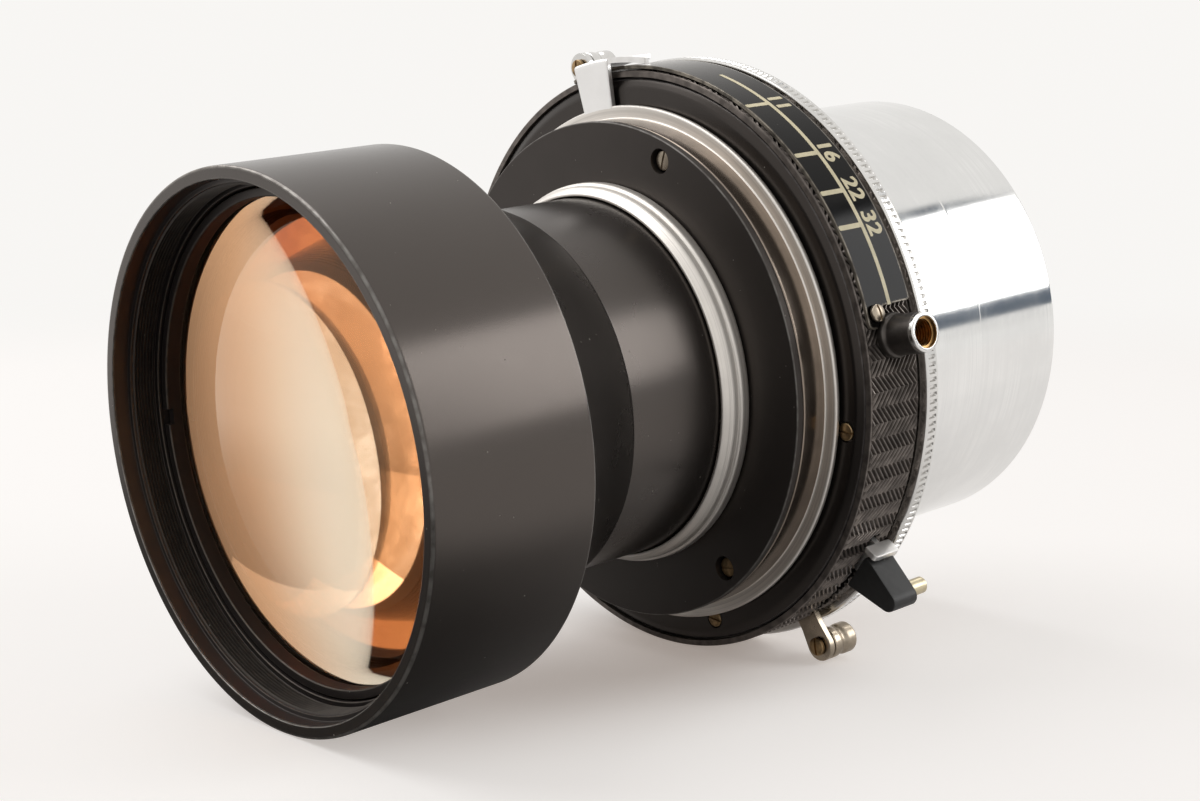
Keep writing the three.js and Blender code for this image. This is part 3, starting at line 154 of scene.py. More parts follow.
def eased(outline: Outline, closed: bool = True) -> Outline:
    """Rounds the corners of an outline that carry a width as a third number.

    Args:
        outline: Points, each with an optional width of its rounding.
        closed: Whether the last point joins the first.

    Returns:
        Plain points with the rounded corners in small steps.
    """
    points: list[Vector] = []
    count = len(outline)
    for index, (first, second, *width) in enumerate(outline):
        corner = Vector((first, second))
        if not closed and index in (0, count - 1):
            points.append(corner)
            continue
        before = Vector(outline[index - 1][:2]) - corner
        after = Vector(outline[(index + 1) % count][:2]) - corner
        ease = width[0] if width else 0.0
        sharp = before.angle(-after, 0.0) > CORNER_TURN
        if sharp and before.length > 2 * (ease + EDGE_GUARD):
            points.append(corner + before.normalized() * (ease + EDGE_GUARD))
        if ease:
            start = corner + before.normalized() * min(ease, before.length / 2)
            end = corner + after.normalized() * min(ease, after.length / 2)
            for share in (step / EASE_STEPS for step in range(EASE_STEPS + 1)):
                points.append(start * (1 - share) ** 2 + corner * 2 * share * (1 - share) + end * share**2)
        else:
            points.append(corner)
        if sharp and after.length > 2 * (ease + EDGE_GUARD):
            points.append(corner + after.normalized() * (ease + EDGE_GUARD))
    return [(point.x, point.y) for point in points]


def trace(name: str, points: list[tuple[float, float, float]], closed: bool) -> Mesh:
    """Draws a line of edges by extruding one vertex from point to point, and stays in edit mode.

    Args:
        name: What the piece will be called.
        points: The corners, in order.
        closed: Whether the last point joins the first, with a face over the outline.

    Returns:
        The object, in edit mode, all selected.
    """
    deselect_all()
    bpy.ops.mesh.primitive_plane_add(size=0.002, location=points[0])
    obj = bpy.context.object
    obj.name = name
    bpy.ops.object.mode_set(mode="EDIT")
    bpy.ops.mesh.merge(type="CENTER")
    for start, end in zip(points, points[1:]):
        move = [b - a for a, b in zip(start, end)]
        bpy.ops.mesh.extrude_region_move(TRANSFORM_OT_translate={"value": move})
    bpy.ops.mesh.select_all(action="SELECT")
    if closed:
        bpy.ops.mesh.edge_face_add()
    return obj


def settle(obj: Mesh) -> Mesh:
    """Closes seams and poles, turns the faces outwards and leaves edit mode.

    Args:
        obj: The object in edit mode.

    Returns:
        The same object, its place in its mesh.
    """
    bpy.ops.mesh.select_all(action="SELECT")
    bpy.ops.mesh.remove_doubles(threshold=MERGE)
    bpy.ops.mesh.normals_make_consistent(inside=False)
    bpy.ops.object.mode_set(mode="OBJECT")
    pick(obj)
    bpy.ops.object.transform_apply(location=True, rotation=True, scale=True)
    return obj


def turn(name: str, outline: Outline, steps: int = RIM_STEPS, arc: tuple[float, float] = (0, 360)) -> Mesh:
    """Turns an outline of (r, y) points round the axis.

    Args:
        name: What the piece is called.
        outline: The section. Where it starts and ends on the axis it is left open.
        steps: Steps of the whole arc.
        arc: First and last angle in degrees.

    Returns:
        A closed mesh in the lens frame.
    """
    on_axis = outline[0][0] == 0 and outline[-1][0] == 0
    points = eased(outline, closed=not on_axis)
    obj = trace(name, [(r, y, 0.0) for r, y in points], closed=not on_axis)
    if not on_axis:
        bpy.ops.mesh.delete(type="ONLY_FACE")
        bpy.ops.mesh.select_all(action="SELECT")
    sweep = math.radians(arc[1] - arc[0])
    bpy.ops.mesh.spin(steps=steps, angle=sweep, center=(0, 0, 0), axis=(0, 1, 0))
    if arc[1] - arc[0] < 360:
        bpy.ops.mesh.select_all(action="SELECT")
        bpy.ops.mesh.fill_holes(sides=0)
    settle(obj)
    obj.data.transform(around_axis(arc[0]))
    return obj


def cut_sheet(name: str, outline: Outline, front: float, thickness: float, edge: float = 0.0) -> Mesh:
    """Cuts a flat piece that lies across the axis.

    Args:
        name: What the piece is called.
        outline: Its (x, z) outline, with the rounding of a corner as a third number.
        front: Where its front face is along the axis.
        thickness: How thick it is.
        edge: Width of the bevel on its long edges.

    Returns:
        A closed mesh in the lens frame.
    """
    obj = trace(name, [(x, front, z) for x, z in eased(outline)], closed=True)
    bpy.ops.mesh.extrude_region_move(TRANSFORM_OT_translate={"value": (0, thickness, 0)})
    settle(obj)
    return soften(obj, edge) if edge else obj


def wrap_sheet(name: str, outline: Outline, inner: float, outer: float, edge: float = 0.0) -> Mesh:
    """Bends a flat piece round the rim.

    Args:
        name: What the piece is called.
        outline: Its (angle, y) outline, with a rounding in millimetres as a third number.
        inner: Radius of its inner face.
        outer: Radius of its outer face.
        edge: Width of the bevel on its edges.

    Returns:
        A closed mesh in the lens frame.
    """
    reach = math.radians(1) * outer
    flat = eased([(point[0] * reach, *point[1:]) for point in outline])
    obj = trace(name, [(s, y, 0.0) for s, y in flat], closed=True)
    first, last = min(p[0] for p in flat), max(p[0] for p in flat)
    for step in range(math.floor(first) + 1, math.ceil(last)):
        bpy.ops.mesh.select_all(action="SELECT")
        bpy.ops.mesh.bisect(plane_co=(step, 0, 0), plane_no=(1, 0, 0))
    bpy.ops.mesh.select_all(action="SELECT")
    if edge:
        bpy.ops.mesh.inset(thickness=edge + EDGE_GUARD)
        bpy.ops.mesh.select_all(action="SELECT")
    bpy.ops.mesh.extrude_region_move(TRANSFORM_OT_translate={"value": (0, 0, inner - outer)})
    settle(obj)
    if edge:
        soften(obj, edge)
    for vertex in obj.data.vertices:
        x, z = polar(outer + vertex.co.z, math.degrees(vertex.co.x / outer))
        vertex.co = (x, vertex.co.y, z)
    return tidy_normals(obj)


def tidy_normals(obj: Mesh) -> Mesh:
    """Turns the faces of a finished mesh outwards again, after its points were moved."""
    pick(obj)
    bpy.ops.object.mode_set(mode="EDIT")
    return settle(obj)


def soften(obj: Mesh, width: float, segments: int = 2, turn_over: float = 50) -> Mesh:
    """Bevels the sharp edges of a piece.

    Args:
        obj: The piece.
        width: Width of the bevel.
        segments: Steps across it.
        turn_over: Edges that turn more than this many degrees are bevelled.

    Returns:
        The same piece, with the modifier applied.
    """
    pick(obj)
    bpy.ops.object.modifier_add(type="BEVEL")
    bevel = obj.modifiers[-1]
    bevel.width, bevel.segments = width, segments
    bevel.limit_method, bevel.angle_limit = "ANGLE", math.radians(turn_over)
    bevel.use_clamp_overlap = True
    bpy.ops.object.modifier_apply(modifier=bevel.name)
    return obj


def cut_away(obj: Mesh, *cutters: Mesh) -> Mesh:
    """Takes the cutters out of a piece.

    Args:
        obj: The piece.
        cutters: Closed meshes, which are used up.

    Returns:
        The piece with the cuts in it.
    """
    if "edge" not in obj.data.attributes:
        note_edges(obj)
    for cutter in cutters:
        pick(obj)
        bpy.ops.object.modifier_add(type="BOOLEAN")
        modifier = obj.modifiers[-1]
        modifier.operation, modifier.solver, modifier.object = "DIFFERENCE", "EXACT", cutter
        bpy.ops.object.modifier_apply(modifier=modifier.name)
        bpy.data.objects.remove(cutter)
    return obj


def drilled(obj: Mesh, radius: float, depth: float, place: Matrix) -> Mesh:
    """Drills a round hole into a piece.

    Args:
        obj: The piece.
        radius: The hole's radius.
        depth: Length of the drill, half of it on either side of its place.
        place: Where the drill goes; it was made along Y.

    Returns:
        The piece with the hole in it.
    """
    deselect_all()
    bpy.ops.mesh.primitive_cylinder_add(vertices=SMALL_STEPS, radius=radius, depth=depth)
    drill = bpy.context.object
    drill.data.transform(place @ Matrix.Rotation(math.pi / 2, 4, "X"))
    return cut_away(obj, drill)


def joined(obj: Mesh, *others: Mesh) -> Mesh:
    """Joins several meshes of one piece into the first."""
    pick(obj)
    for other in others:
        other.select_set(True)
    bpy.ops.object.join()
    return obj


def moved(obj: Mesh, matrix: Matrix) -> Mesh:
    """Puts a piece in its place in the lens frame, in its mesh."""
    obj.data.transform(matrix)
    return obj


def twin(obj: Mesh, name: str, matrix: Matrix) -> Mesh:
    """Copies a piece with a mesh of its own and puts the copy in its place.

    Args:
        obj: The piece as modelled.
        name: The copy's name.
        matrix: Where the copy goes.

    Returns:
        The copy.
    """
    pick(obj)
    bpy.ops.object.duplicate(linked=False)
    copy = bpy.context.object
    copy.name = name
    return moved(copy, matrix)


def box_at(name: str, size: tuple[float, float, float], matrix: Matrix) -> Mesh:
    """A block to cut with, centred at a place."""
    deselect_all()
    bpy.ops.mesh.primitive_cube_add(size=1)
    block = bpy.context.object
    block.name = name
    block.data.transform(matrix @ Matrix.Diagonal((*size, 1)))
    return block


@dataclass
class ScrewHead:
    """A slotted head that is made along +Y, its face at the far end."""

    radius: float
    height: float
    slot_width: float = 0.5
    slot_depth: float = 0.45
    crown: float = 0.12
    edge: float = 0.2

    def make(self, name: str, slot_turn: float) -> Mesh:
        """Turns the head and saws its slot.

        Args:
            name: What the screw is called.
            slot_turn: Angle of the slot round the head's own axis, in degrees.

        Returns:
            The head, standing on the origin.
        """
        face = self.height
        head = turn(
            name,
            [
                (0, 0), (self.radius, 0), (self.radius, face - self.crown, self.edge),
                (self.radius * 0.5, face - self.crown * 0.2), (0, face),
            ],
            SMALL_STEPS,
        )
        size = (2 * self.radius + CUT_MARGIN, 2 * self.slot_depth, self.slot_width)
        place = Matrix.Translation((0, face, 0)) @ Matrix.Rotation(-math.radians(slot_turn), 4, "Y")
        return cut_away(head, box_at(f"{name}_saw", size, place))

    def fit(
        self,
        name: str,
        slot_turn: float,
        place: Matrix,
        finish: "Finish",
        node: str,
        body: Body = Body.HOUSING,
    ) -> Mesh:
        """Makes a head, puts it in its place and gives it its finish.

        Args:
            name: What the screw is called.
            slot_turn: Angle of its slot, in degrees.
            place: Where it goes in the lens frame.
            finish: What its surface is like.
            node: The CAD node that it stands for.
            body: The body that it moves with.

        Returns:
            The finished screw.
        """
        return dress(moved(self.make(name, slot_turn), place), finish, body, (node,))


def facing_front(x: float, rear: float, z: float) -> Matrix:
    """The place of a piece made along +Y that looks out of the front of the lens."""
    return Matrix.Translation((x, rear, z)) @ Matrix.Rotation(math.pi, 4, "Z")


def note_edges(obj: Mesh) -> None:
    """Keeps at each vertex, as the attribute edge, how sharply the surface turns outwards there."""
    mesh = bmesh.new()
    mesh.from_mesh(obj.data)
    layer = mesh.verts.layers.float.new("edge")
    for vertex in mesh.verts:
        turns = (edge.calc_face_angle_signed(0) for edge in vertex.link_edges)
        share = (max(turns, default=0) - EDGE_FIRST_TURN) / (EDGE_FULL_TURN - EDGE_FIRST_TURN)
        vertex[layer] = min(1.0, max(0.0, share))
    mesh.to_mesh(obj.data)
    mesh.free()


def dress(
    obj: Mesh,
    finish: "Finish",
    body: Body = Body.HOUSING,
    nodes: tuple[str, ...] = (),
    smooth: float = SMOOTH_TURN,
) -> Mesh:
    """Puts a piece that was made in the lens frame in its place, shades it and gives it its finish.

    Args:
        obj: The piece, in millimetres in the lens frame.
        finish: What its surface is like.
        body: The body that it moves with.
        nodes: The CAD nodes that it stands for.
        smooth: Edges that turn less than this are shaded smooth.

    Returns:
        The finished piece.
    """
    obj.data.transform(LENS_TO_ROW)
    if "edge" not in obj.data.attributes:
        note_edges(obj)
    pick(obj)
    bpy.ops.object.shade_smooth_by_angle(angle=smooth)
    bpy.ops.object.modifier_add(type="WEIGHTED_NORMAL")
    modifier = obj.modifiers[-1]
    modifier.keep_sharp = True
    bpy.ops.object.modifier_apply(modifier=modifier.name)
    obj.data.materials.clear()
    obj.data.materials.append(finish.material())
    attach(obj, body.value)
    if nodes:
        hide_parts(*nodes)
    LOG.info("%s: %d faces, %s", obj.name, len(obj.data.polygons), finish.name)
    return obj


def paint(obj: Mesh, finish: "Finish", matrix: Matrix, inside: Callable[[float, float], bool]) -> None:
    """Gives some faces of a finished piece another finish.

    Args:
        obj: The piece.
        finish: The finish of those faces.
        matrix: The frame of the turned part they belong to, in the lens frame.
        inside: Says from a face's radius about that frame's Y axis, and its place along it, if it is one.
    """
    obj.data.materials.append(finish.material())
    back = (LENS_TO_ROW @ matrix).inverted()
    for face in obj.data.polygons:
        spot = back @ face.center
        if inside(math.hypot(spot.x, spot.z), spot.y):
            face.material_index = len(obj.data.materials) - 1


def dress_node(node: str, finish: "Finish") -> None:
    """Gives a CAD node that is kept as it is its finish."""
    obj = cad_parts[node]
    if not obj.material_slots:
        obj.data.materials.append(finish.material())
    for material_slot in obj.material_slots:
        material_slot.link = "OBJECT"
        material_slot.material = finish.material()


# Finishes


def linear(colour: Colour) -> tuple[float, float, float, float]:
    """A colour as seen on a screen, as the linear values that a shader takes."""
    parts = (c / 12.92 if c <= 0.04045 else ((c + 0.055) / 1.055) ** 2.4 for c in colour)
    return (*parts, 1.0)


@dataclass
class NodeBoard:
    """A node tree that is laid out and wired by short calls."""

    tree: bpy.types.NodeTree

    def add(self, kind: str, sockets: dict | None = None, **settings: object) -> bpy.types.Node:
        """Adds a node and fills its sockets.

        Args:
            kind: The node's type.
            sockets: Values or sockets to link, by input name or number.
            settings: The node's own settings.

        Returns:
            The new node.
        """
        node = self.tree.nodes.new(kind)
        for key, value in settings.items():
            setattr(node, key, value)
        for key, value in (sockets or {}).items():
            self.put(node.inputs[key], value)
        return node

    def put(self, socket: Socket, value: object) -> None:
        """Links another socket to this one, or sets its value."""
        if isinstance(value, bpy.types.NodeSocket):
            self.tree.links.new(value, socket)
        else:
            socket.default_value = value

    def sum(self, operation: str, first: object, second: object = 0.0, third: object = 0.0) -> Socket:
        """The result of one Math node, such as ADD or MULTIPLY."""
        node = self.add("ShaderNodeMath", {0: first, 1: second, 2: third}, operation=operation)
        return node.outputs[0]

    def fade(self, value: object, low: float, high: float, start: float = 0.0, end: float = 1.0) -> Socket:
        """Maps a value from low..high to start..end in a smooth step."""
        node = self.add(
            "ShaderNodeMapRange",
            {"Value": value, "From Min": low, "From Max": high, "To Min": start, "To Max": end},
            interpolation_type="SMOOTHSTEP",
        )
        return node.outputs[0]

    def blend(self, share: object, first: object, second: object) -> Socket:
        """Blends two colours."""
        node = self.add("ShaderNodeMix", {0: share, 6: first, 7: second}, data_type="RGBA")
        return node.outputs[2]

    def vector(self, x: object, y: object, z: object) -> Socket:
        """Puts three values together."""
        return self.add("ShaderNodeCombineXYZ", {0: x, 1: y, 2: z}).outputs[0]


def empty_board(owner: bpy.types.Material | bpy.types.World) -> NodeBoard:
    """Clears the nodes of a material or world and returns its board."""
    owner.use_nodes = True
    owner.node_tree.nodes.clear()
    return NodeBoard(owner.node_tree)


def group_board(name: str, inputs: dict[str, float], outputs: dict[str, str]) -> tuple[NodeBoard, dict, dict]:
    """Starts a shared node group.

    Args:
        name: What the group is called.
        inputs: Its number inputs and their usual values.
        outputs: Its outputs and their kinds, Float or Vector.

    Returns:
        Its board, its input sockets and its output sockets, by name.
    """
    tree = bpy.data.node_groups.new(name, "ShaderNodeTree")
    for label, usual in inputs.items():
        socket = tree.interface.new_socket(label, in_out="INPUT", socket_type="NodeSocketFloat")
        socket.default_value = usual
    for label, kind in outputs.items():
        tree.interface.new_socket(label, in_out="OUTPUT", socket_type=f"NodeSocket{kind}")
    board = NodeBoard(tree)
    entry, leave = board.add("NodeGroupInput"), board.add("NodeGroupOutput")
    return board, {k: entry.outputs[k] for k in inputs}, {k: leave.inputs[k] for k in outputs}


class SharedEffects:
    """The node groups that the finishes share, each built once."""

    LINE_DRIFT = 0.7  # how far the turning lines change in one turn
    WEAR_SCALE = 0.45  # patches of wear to the millimetre
    WEAR_PATCHES = (0.3, 0.65, 0.35, 1.0)  # from and to of their noise, and the wear at each

    def __init__(self) -> None:
        """Builds every group."""
        self.place = self._lens_place()
        self.lines = self._turning_lines()
        self.grain = self._grain()
        self.dust = self._dust()
        self.wear = self._edge_wear()
        self.smudges = self._smudges()

    def use(self, board: NodeBoard, tree: bpy.types.NodeTree, **values: float) -> bpy.types.Node:
        """Places one of the groups on a material's board.

        Args:
            board: The material's board.
            tree: The group.
            values: Its inputs.

        Returns:
            The group's node.
        """
        node = board.add("ShaderNodeGroup", node_tree=tree)
        for key, value in values.items():
            board.put(node.inputs[key.replace("_", " ").capitalize()], value)
        return node

    def _lens_place(self) -> bpy.types.NodeTree:
        """Where a point lies in the lens's own frame, in millimetres and degrees."""
        outputs = {"Point": "Vector", "Radius": "Float", "Axial": "Float", "Angle": "Float"}
        board, _, out = group_board("Place in the lens", {}, outputs)
        where = board.add("ShaderNodeTexCoord").outputs["Object"]
        own = board.add(
            "ShaderNodeMapping",
            {
                "Vector": where,
                "Location": [v * MILLIMETRE for v in LENS_FRONT],
                "Rotation": (LENS_TILT, 0, 0),
                "Scale": (MILLIMETRE,) * 3,
            },
            vector_type="TEXTURE",
        ).outputs[0]
        split = board.add("ShaderNodeSeparateXYZ", {0: own})
        flat = board.vector(split.outputs[0], 0.0, split.outputs[2])
        length = board.add("ShaderNodeVectorMath", {0: flat}, operation="LENGTH").outputs["Value"]
        angle = board.sum("ARCTAN2", split.outputs[2], split.outputs[0])
        board.put(out["Point"], own)
        board.put(out["Radius"], length)
        board.put(out["Axial"], split.outputs[1])
        board.put(out["Angle"], board.sum("DEGREES", angle))
        return board.tree

    def _turning_lines(self) -> bpy.types.NodeTree:
        """Fine lines round the axis, as a lathe tool and polishing leave them."""
        board, given, out = group_board("Turning lines", {"Fineness": 3.0}, {"Lines": "Float"})
        spot = self.use(board, self.place)
        angle = board.sum("RADIANS", spot.outputs["Angle"])
        across = board.sum("MULTIPLY", spot.outputs["Radius"], given["Fineness"])
        along = board.sum("MULTIPLY", spot.outputs["Axial"], given["Fineness"])
        drift = board.sum("MULTIPLY", board.sum("SINE", angle), self.LINE_DRIFT)
        other = board.sum("MULTIPLY", board.sum("COSINE", angle), self.LINE_DRIFT)
        noise = board.add(
            "ShaderNodeTexNoise",
            {"Vector": board.vector(across, along, drift), "W": other, "Scale": 1.0, "Detail": 3.0},
            noise_dimensions="4D",
        )
        board.put(out["Lines"], noise.outputs[0])
        return board.tree

    def _grain(self) -> bpy.types.NodeTree:
        """Small bumps of a painted or cast surface; Size is in millimetres."""
        board, given, out = group_board("Surface grain", {"Size": 0.3}, {"Grain": "Float"})
        spot = self.use(board, self.place)
        scale = board.sum("DIVIDE", 1.0, given["Size"])
        sockets = {"Vector": spot.outputs["Point"], "Scale": scale, "Detail": 2.0}
        board.put(out["Grain"], board.add("ShaderNodeTexNoise", sockets).outputs[0])
        return board.tree

    def _dust(self) -> bpy.types.NodeTree:
        """Small specks of dust; Spacing is in millimetres and Cover is the share of cells with a speck."""
        inputs = {"Spacing": 1.5, "Cover": 0.3, "Speck": 0.12}
        board, given, out = group_board("Dust specks", inputs, {"Dust": "Float"})
        spot = self.use(board, self.place)
        scale = board.sum("DIVIDE", 1.0, given["Spacing"])
        cells = board.add("ShaderNodeTexVoronoi", {"Vector": spot.outputs["Point"], "Scale": scale})
        chance = board.add("ShaderNodeSeparateColor", {0: cells.outputs["Color"]})
        size = board.sum("MULTIPLY", chance.outputs[1], given["Speck"])
        near = board.sum("LESS_THAN", cells.outputs["Distance"], size)
        there = board.sum("LESS_THAN", chance.outputs[0], given["Cover"])
        board.put(out["Dust"], board.sum("MULTIPLY", near, there))
        return board.tree

    def _edge_wear(self) -> bpy.types.NodeTree:
        """Where the finish is rubbed off the edges, broken up along them."""
        board, given, out = group_board("Edge wear", {"Amount": 0.5}, {"Wear": "Float"})
        spot = self.use(board, self.place)
        edge = board.add("ShaderNodeAttribute", attribute_name="edge").outputs["Fac"]
        sockets = {"Vector": spot.outputs["Point"], "Scale": self.WEAR_SCALE, "Detail": 3.0}
        patches = board.add("ShaderNodeTexNoise", sockets).outputs[0]
        rubbed = board.sum("MULTIPLY", edge, board.fade(patches, *self.WEAR_PATCHES))
        board.put(out["Wear"], board.sum("MULTIPLY", rubbed, given["Amount"]))
        return board.tree

    def _smudges(self) -> bpy.types.NodeTree:
        """Wide soft patches where a surface was handled; Size is in millimetres."""
        board, given, out = group_board("Smudges", {"Size": 14.0}, {"Smudges": "Float"})
        spot = self.use(board, self.place)
        scale = board.sum("DIVIDE", 1.0, given["Size"])
        sockets = {"Vector": spot.outputs["Point"], "Scale": scale, "Detail": 4.0, "Roughness": 0.6}
        noise = board.add("ShaderNodeTexNoise", sockets).outputs[0]
        board.put(out["Smudges"], board.fade(noise, 0.3, 0.7))
        return board.tree


EFFECTS = SharedEffects()

# How the effects mix in a finish
DEEP_LINES = (0.42, 0.62)  # heights between which a turning line takes its darker colour
DUST_COLOUR_SHARE = 0.55
DUST_ROUGHNESS = 0.8
SHEEN_COLOUR: Colour = (1.0, 0.95, 0.90)
SHEEN_ROUGHNESS = 0.3
GLASS_SMUDGE = 0.02  # how much rougher cleaning marks make a glass
GLASS_SMUDGE_SIZE = 20.0
PAINTED_LIGHT_SPAN = (-0.026, 0.010)  # from where to where along X the painted light pales a glass's coat, in metres


@dataclass(frozen=True)
class Finish:
    """A solid surface: paint, plastic or metal, with its grain, lines, dust, smudges and wear."""

    name: str
    slot: Slot
    colour: Colour
    roughness: float
    metallic: float = 0.0
    specular: float = 0.5
    gleam: Colour = (1.0, 1.0, 1.0)  # colour of what a paint mirrors
    sheen: float = 0.0  # a faint film of dust that shows where the surface is seen along it
    shade: float = 0.12  # how much darker the smudges make the colour
    smudge: float = 0.06  # how much rougher they make it
    smudge_size: float = 14.0
    lines: float = 0.0  # height of the turning lines
    fineness: float = 3.0
    line_gloss: float = 0.0  # how much the lines change the roughness
    line_shade: float = 0.0  # and the colour
    grain: float = 0.0  # height of the grain
    grain_size: float = 0.3
    dust: float = 0.0
    dust_colour: Colour = (0.72, 0.70, 0.66)
    wear: float = 0.0
    wear_colour: Colour = (0.80, 0.79, 0.77)
    wear_metallic: float = 0.9

    def material(self) -> bpy.types.Material:
        """The material of this finish, built the first time."""
        return bpy.data.materials.get(self.name) or self._build()

    def _build(self) -> bpy.types.Material:
        """Wires the shared effects to a Principled shader.

        Returns:
            The new material.
        """
        material = bpy.data.materials.new(self.name)
        board = empty_board(material)
        shader = board.add(
            "ShaderNodeBsdfPrincipled",
            {
                "Specular IOR Level": self.specular,
                "Specular Tint": linear(self.gleam),
                "Sheen Weight": self.sheen,
                "Sheen Roughness": SHEEN_ROUGHNESS,
                "Sheen Tint": linear(SHEEN_COLOUR),
            },
        )
        smudges = EFFECTS.use(board, EFFECTS.smudges, size=self.smudge_size).outputs[0]
        lines = EFFECTS.use(board, EFFECTS.lines, fineness=self.fineness).outputs[0]
        dark = tuple(c * (1 - self.shade) for c in self.colour)
        colour = board.blend(smudges, linear(self.colour), linear(dark))
        if self.line_shade:
            deep = tuple(c * (1 - self.line_shade) for c in self.colour)
            colour = board.blend(board.fade(lines, *DEEP_LINES), colour, linear(deep))
        roughness = board.sum("MULTIPLY_ADD", smudges, self.smudge, self.roughness)
        if self.line_gloss:
            roughness = board.sum("MULTIPLY_ADD", lines, self.line_gloss, roughness)
        metallic: object = self.metallic
        if self.wear:
            wear = EFFECTS.use(board, EFFECTS.wear, amount=self.wear).outputs[0]
            colour = board.blend(wear, colour, linear(self.wear_colour))
            change = self.wear_metallic - self.metallic
            metallic = board.sum("MULTIPLY_ADD", wear, change, self.metallic)
        if self.dust:
            dust = EFFECTS.use(board, EFFECTS.dust, cover=self.dust).outputs[0]
            cover = board.sum("MULTIPLY", dust, DUST_COLOUR_SHARE)
            colour = board.blend(cover, colour, linear(self.dust_colour))
            roughness = board.sum("MAXIMUM", roughness, board.sum("MULTIPLY", dust, DUST_ROUGHNESS))
        board.put(shader.inputs["Base Color"], colour)
        board.put(shader.inputs["Roughness"], roughness)
        board.put(shader.inputs["Metallic"], metallic)
        if self.lines or self.grain:
            height = board.sum("MULTIPLY", lines, self.lines)
            if self.grain:
                grain = EFFECTS.use(board, EFFECTS.grain, size=self.grain_size).outputs[0]
                height = board.sum("MULTIPLY_ADD", grain, self.grain, height)
            bump = board.add("ShaderNodeBump", {"Height": height, "Distance": MILLIMETRE, "Strength": 1.0})
            board.put(shader.inputs["Normal"], bump.outputs[0])
        board.add("ShaderNodeOutputMaterial", {"Surface": shader.outputs[0]})
        return material


@dataclass(frozen=True)
class GlassFinish:
    """A coated glass: part mirror in the coating's colour, the rest clear."""

    name: str
    colour: Colour
    mirror: float
    tint: Colour = (1.0, 1.0, 1.0)
    index: float = 1.52
    roughness: float = 0.01
    painted_light_colour: Colour | None = None  # painted light: the coat's colour towards +X, where the glass looks brighter
    slot: Slot = Slot.COATED_GLASS

    def material(self) -> bpy.types.Material:
        """The material of this glass, built the first time."""
        return bpy.data.materials.get(self.name) or self._build()

    def _build(self) -> bpy.types.Material:
        """Wires faint cleaning marks to a clear Principled shader.

        Returns:
            The new material.
        """
        material = bpy.data.materials.new(self.name)
        board = empty_board(material)
        smudges = EFFECTS.use(board, EFFECTS.smudges, size=GLASS_SMUDGE_SIZE).outputs[0]
        colour: object = linear(self.colour)
        # Painted light: the coat's colour pales towards +X
        if self.painted_light_colour:
            where = board.add("ShaderNodeTexCoord").outputs["Object"]
            across = board.add("ShaderNodeSeparateXYZ", {0: where}).outputs[0]
            colour = board.blend(board.fade(across, *PAINTED_LIGHT_SPAN), colour, linear(self.painted_light_colour))
        shader = board.add(
            "ShaderNodeBsdfPrincipled",
            {
                "Base Color": colour,
                "Metallic": self.mirror,
                "Transmission Weight": 1.0,
                "IOR": self.index,
                "Specular Tint": linear(self.tint),
                "Roughness": board.sum("MULTIPLY_ADD", smudges, GLASS_SMUDGE, self.roughness),
            },
        )
        board.add("ShaderNodeOutputMaterial", {"Surface": shader.outputs[0]})
        return material


WARM_GLEAM: Colour = (1.0, 0.94, 0.90)  # of the black paints

SATIN_BLACK = Finish(
    "satin black enamel", Slot.BLACK_METAL, (0.155, 0.14, 0.13), 0.20, specular=1.0, grain=0.008,
    grain_size=0.30, dust=0.16, wear=0.5, smudge=0.02, gleam=WARM_GLEAM,
)
NECK_BLACK = Finish(
    "satin black enamel, turned", Slot.BLACK_METAL, (0.10, 0.092, 0.087), 0.27, specular=1.0, lines=0.0015,
    fineness=2.0, grain=0.004, dust=0.14, wear=0.4, smudge=0.02, gleam=WARM_GLEAM,
)
DISC_BLACK = Finish(
    "satin black, slightly brown", Slot.BLACK_METAL, (0.175, 0.16, 0.152), 0.42, specular=0.6, lines=0.002,
    fineness=2.5, grain=0.005, dust=0.12, wear=0.35, smudge=0.02, gleam=WARM_GLEAM,
)
MOUTH_BLACK = Finish(
    "dark brown-black of the hood's mouth", Slot.BLACK_METAL, (0.165, 0.148, 0.145), 0.34, specular=0.6,
    gleam=WARM_GLEAM, dust=0.08, wear=0.25, wear_colour=(0.62, 0.58, 0.52),
)
GLOSS_BLACK = Finish(
    "gloss black enamel", Slot.BLACK_GLOSS, (0.05, 0.046, 0.047), 0.12, specular=0.12, sheen=0.30, dust=0.08,
    wear=0.7, smudge=0.03, wear_colour=(0.80, 0.76, 0.70), grain=0.002, grain_size=1.2,
)
PLATE_BLACK = Finish(
    "gloss black enamel, worn", Slot.BLACK_GLOSS, (0.13, 0.12, 0.115), 0.24, specular=0.55, gleam=WARM_GLEAM,
    dust=0.08, wear=0.5, smudge=0.03, wear_colour=(0.80, 0.78, 0.78), grain=0.002, grain_size=1.2,
)
KNURL_BLACK = Finish(
    "worn black knurling", Slot.BLACK_METAL, (0.11, 0.10, 0.095), 0.28, specular=0.8, wear=0.6,
    wear_colour=(0.62, 0.585, 0.56), dust=0.05, gleam=WARM_GLEAM,
)
BRIGHT_ALUMINIUM = Finish(
    "bright turned aluminium", Slot.TURNED_ALUMINIUM, (0.95, 0.93, 0.905), 0.40, metallic=1.0,
    lines=0.010, fineness=3.5, line_gloss=0.12, line_shade=0.10, shade=0.05,
)
DARK_NICKEL = Finish(
    "dark worn nickel", Slot.WARM_NICKEL, (0.36, 0.34, 0.325), 0.36, metallic=0.85, shade=0.25, smudge=0.1,
    smudge_size=4.0, wear=0.4,
)
SMOOTH_NICKEL = Finish(
    "smooth polished nickel", Slot.WARM_NICKEL, (0.60, 0.55, 0.505), 0.13, metallic=1.0, lines=0.0005,
    fineness=3.0, line_gloss=0.08, shade=0.12, smudge=0.05, smudge_size=8.0,
)
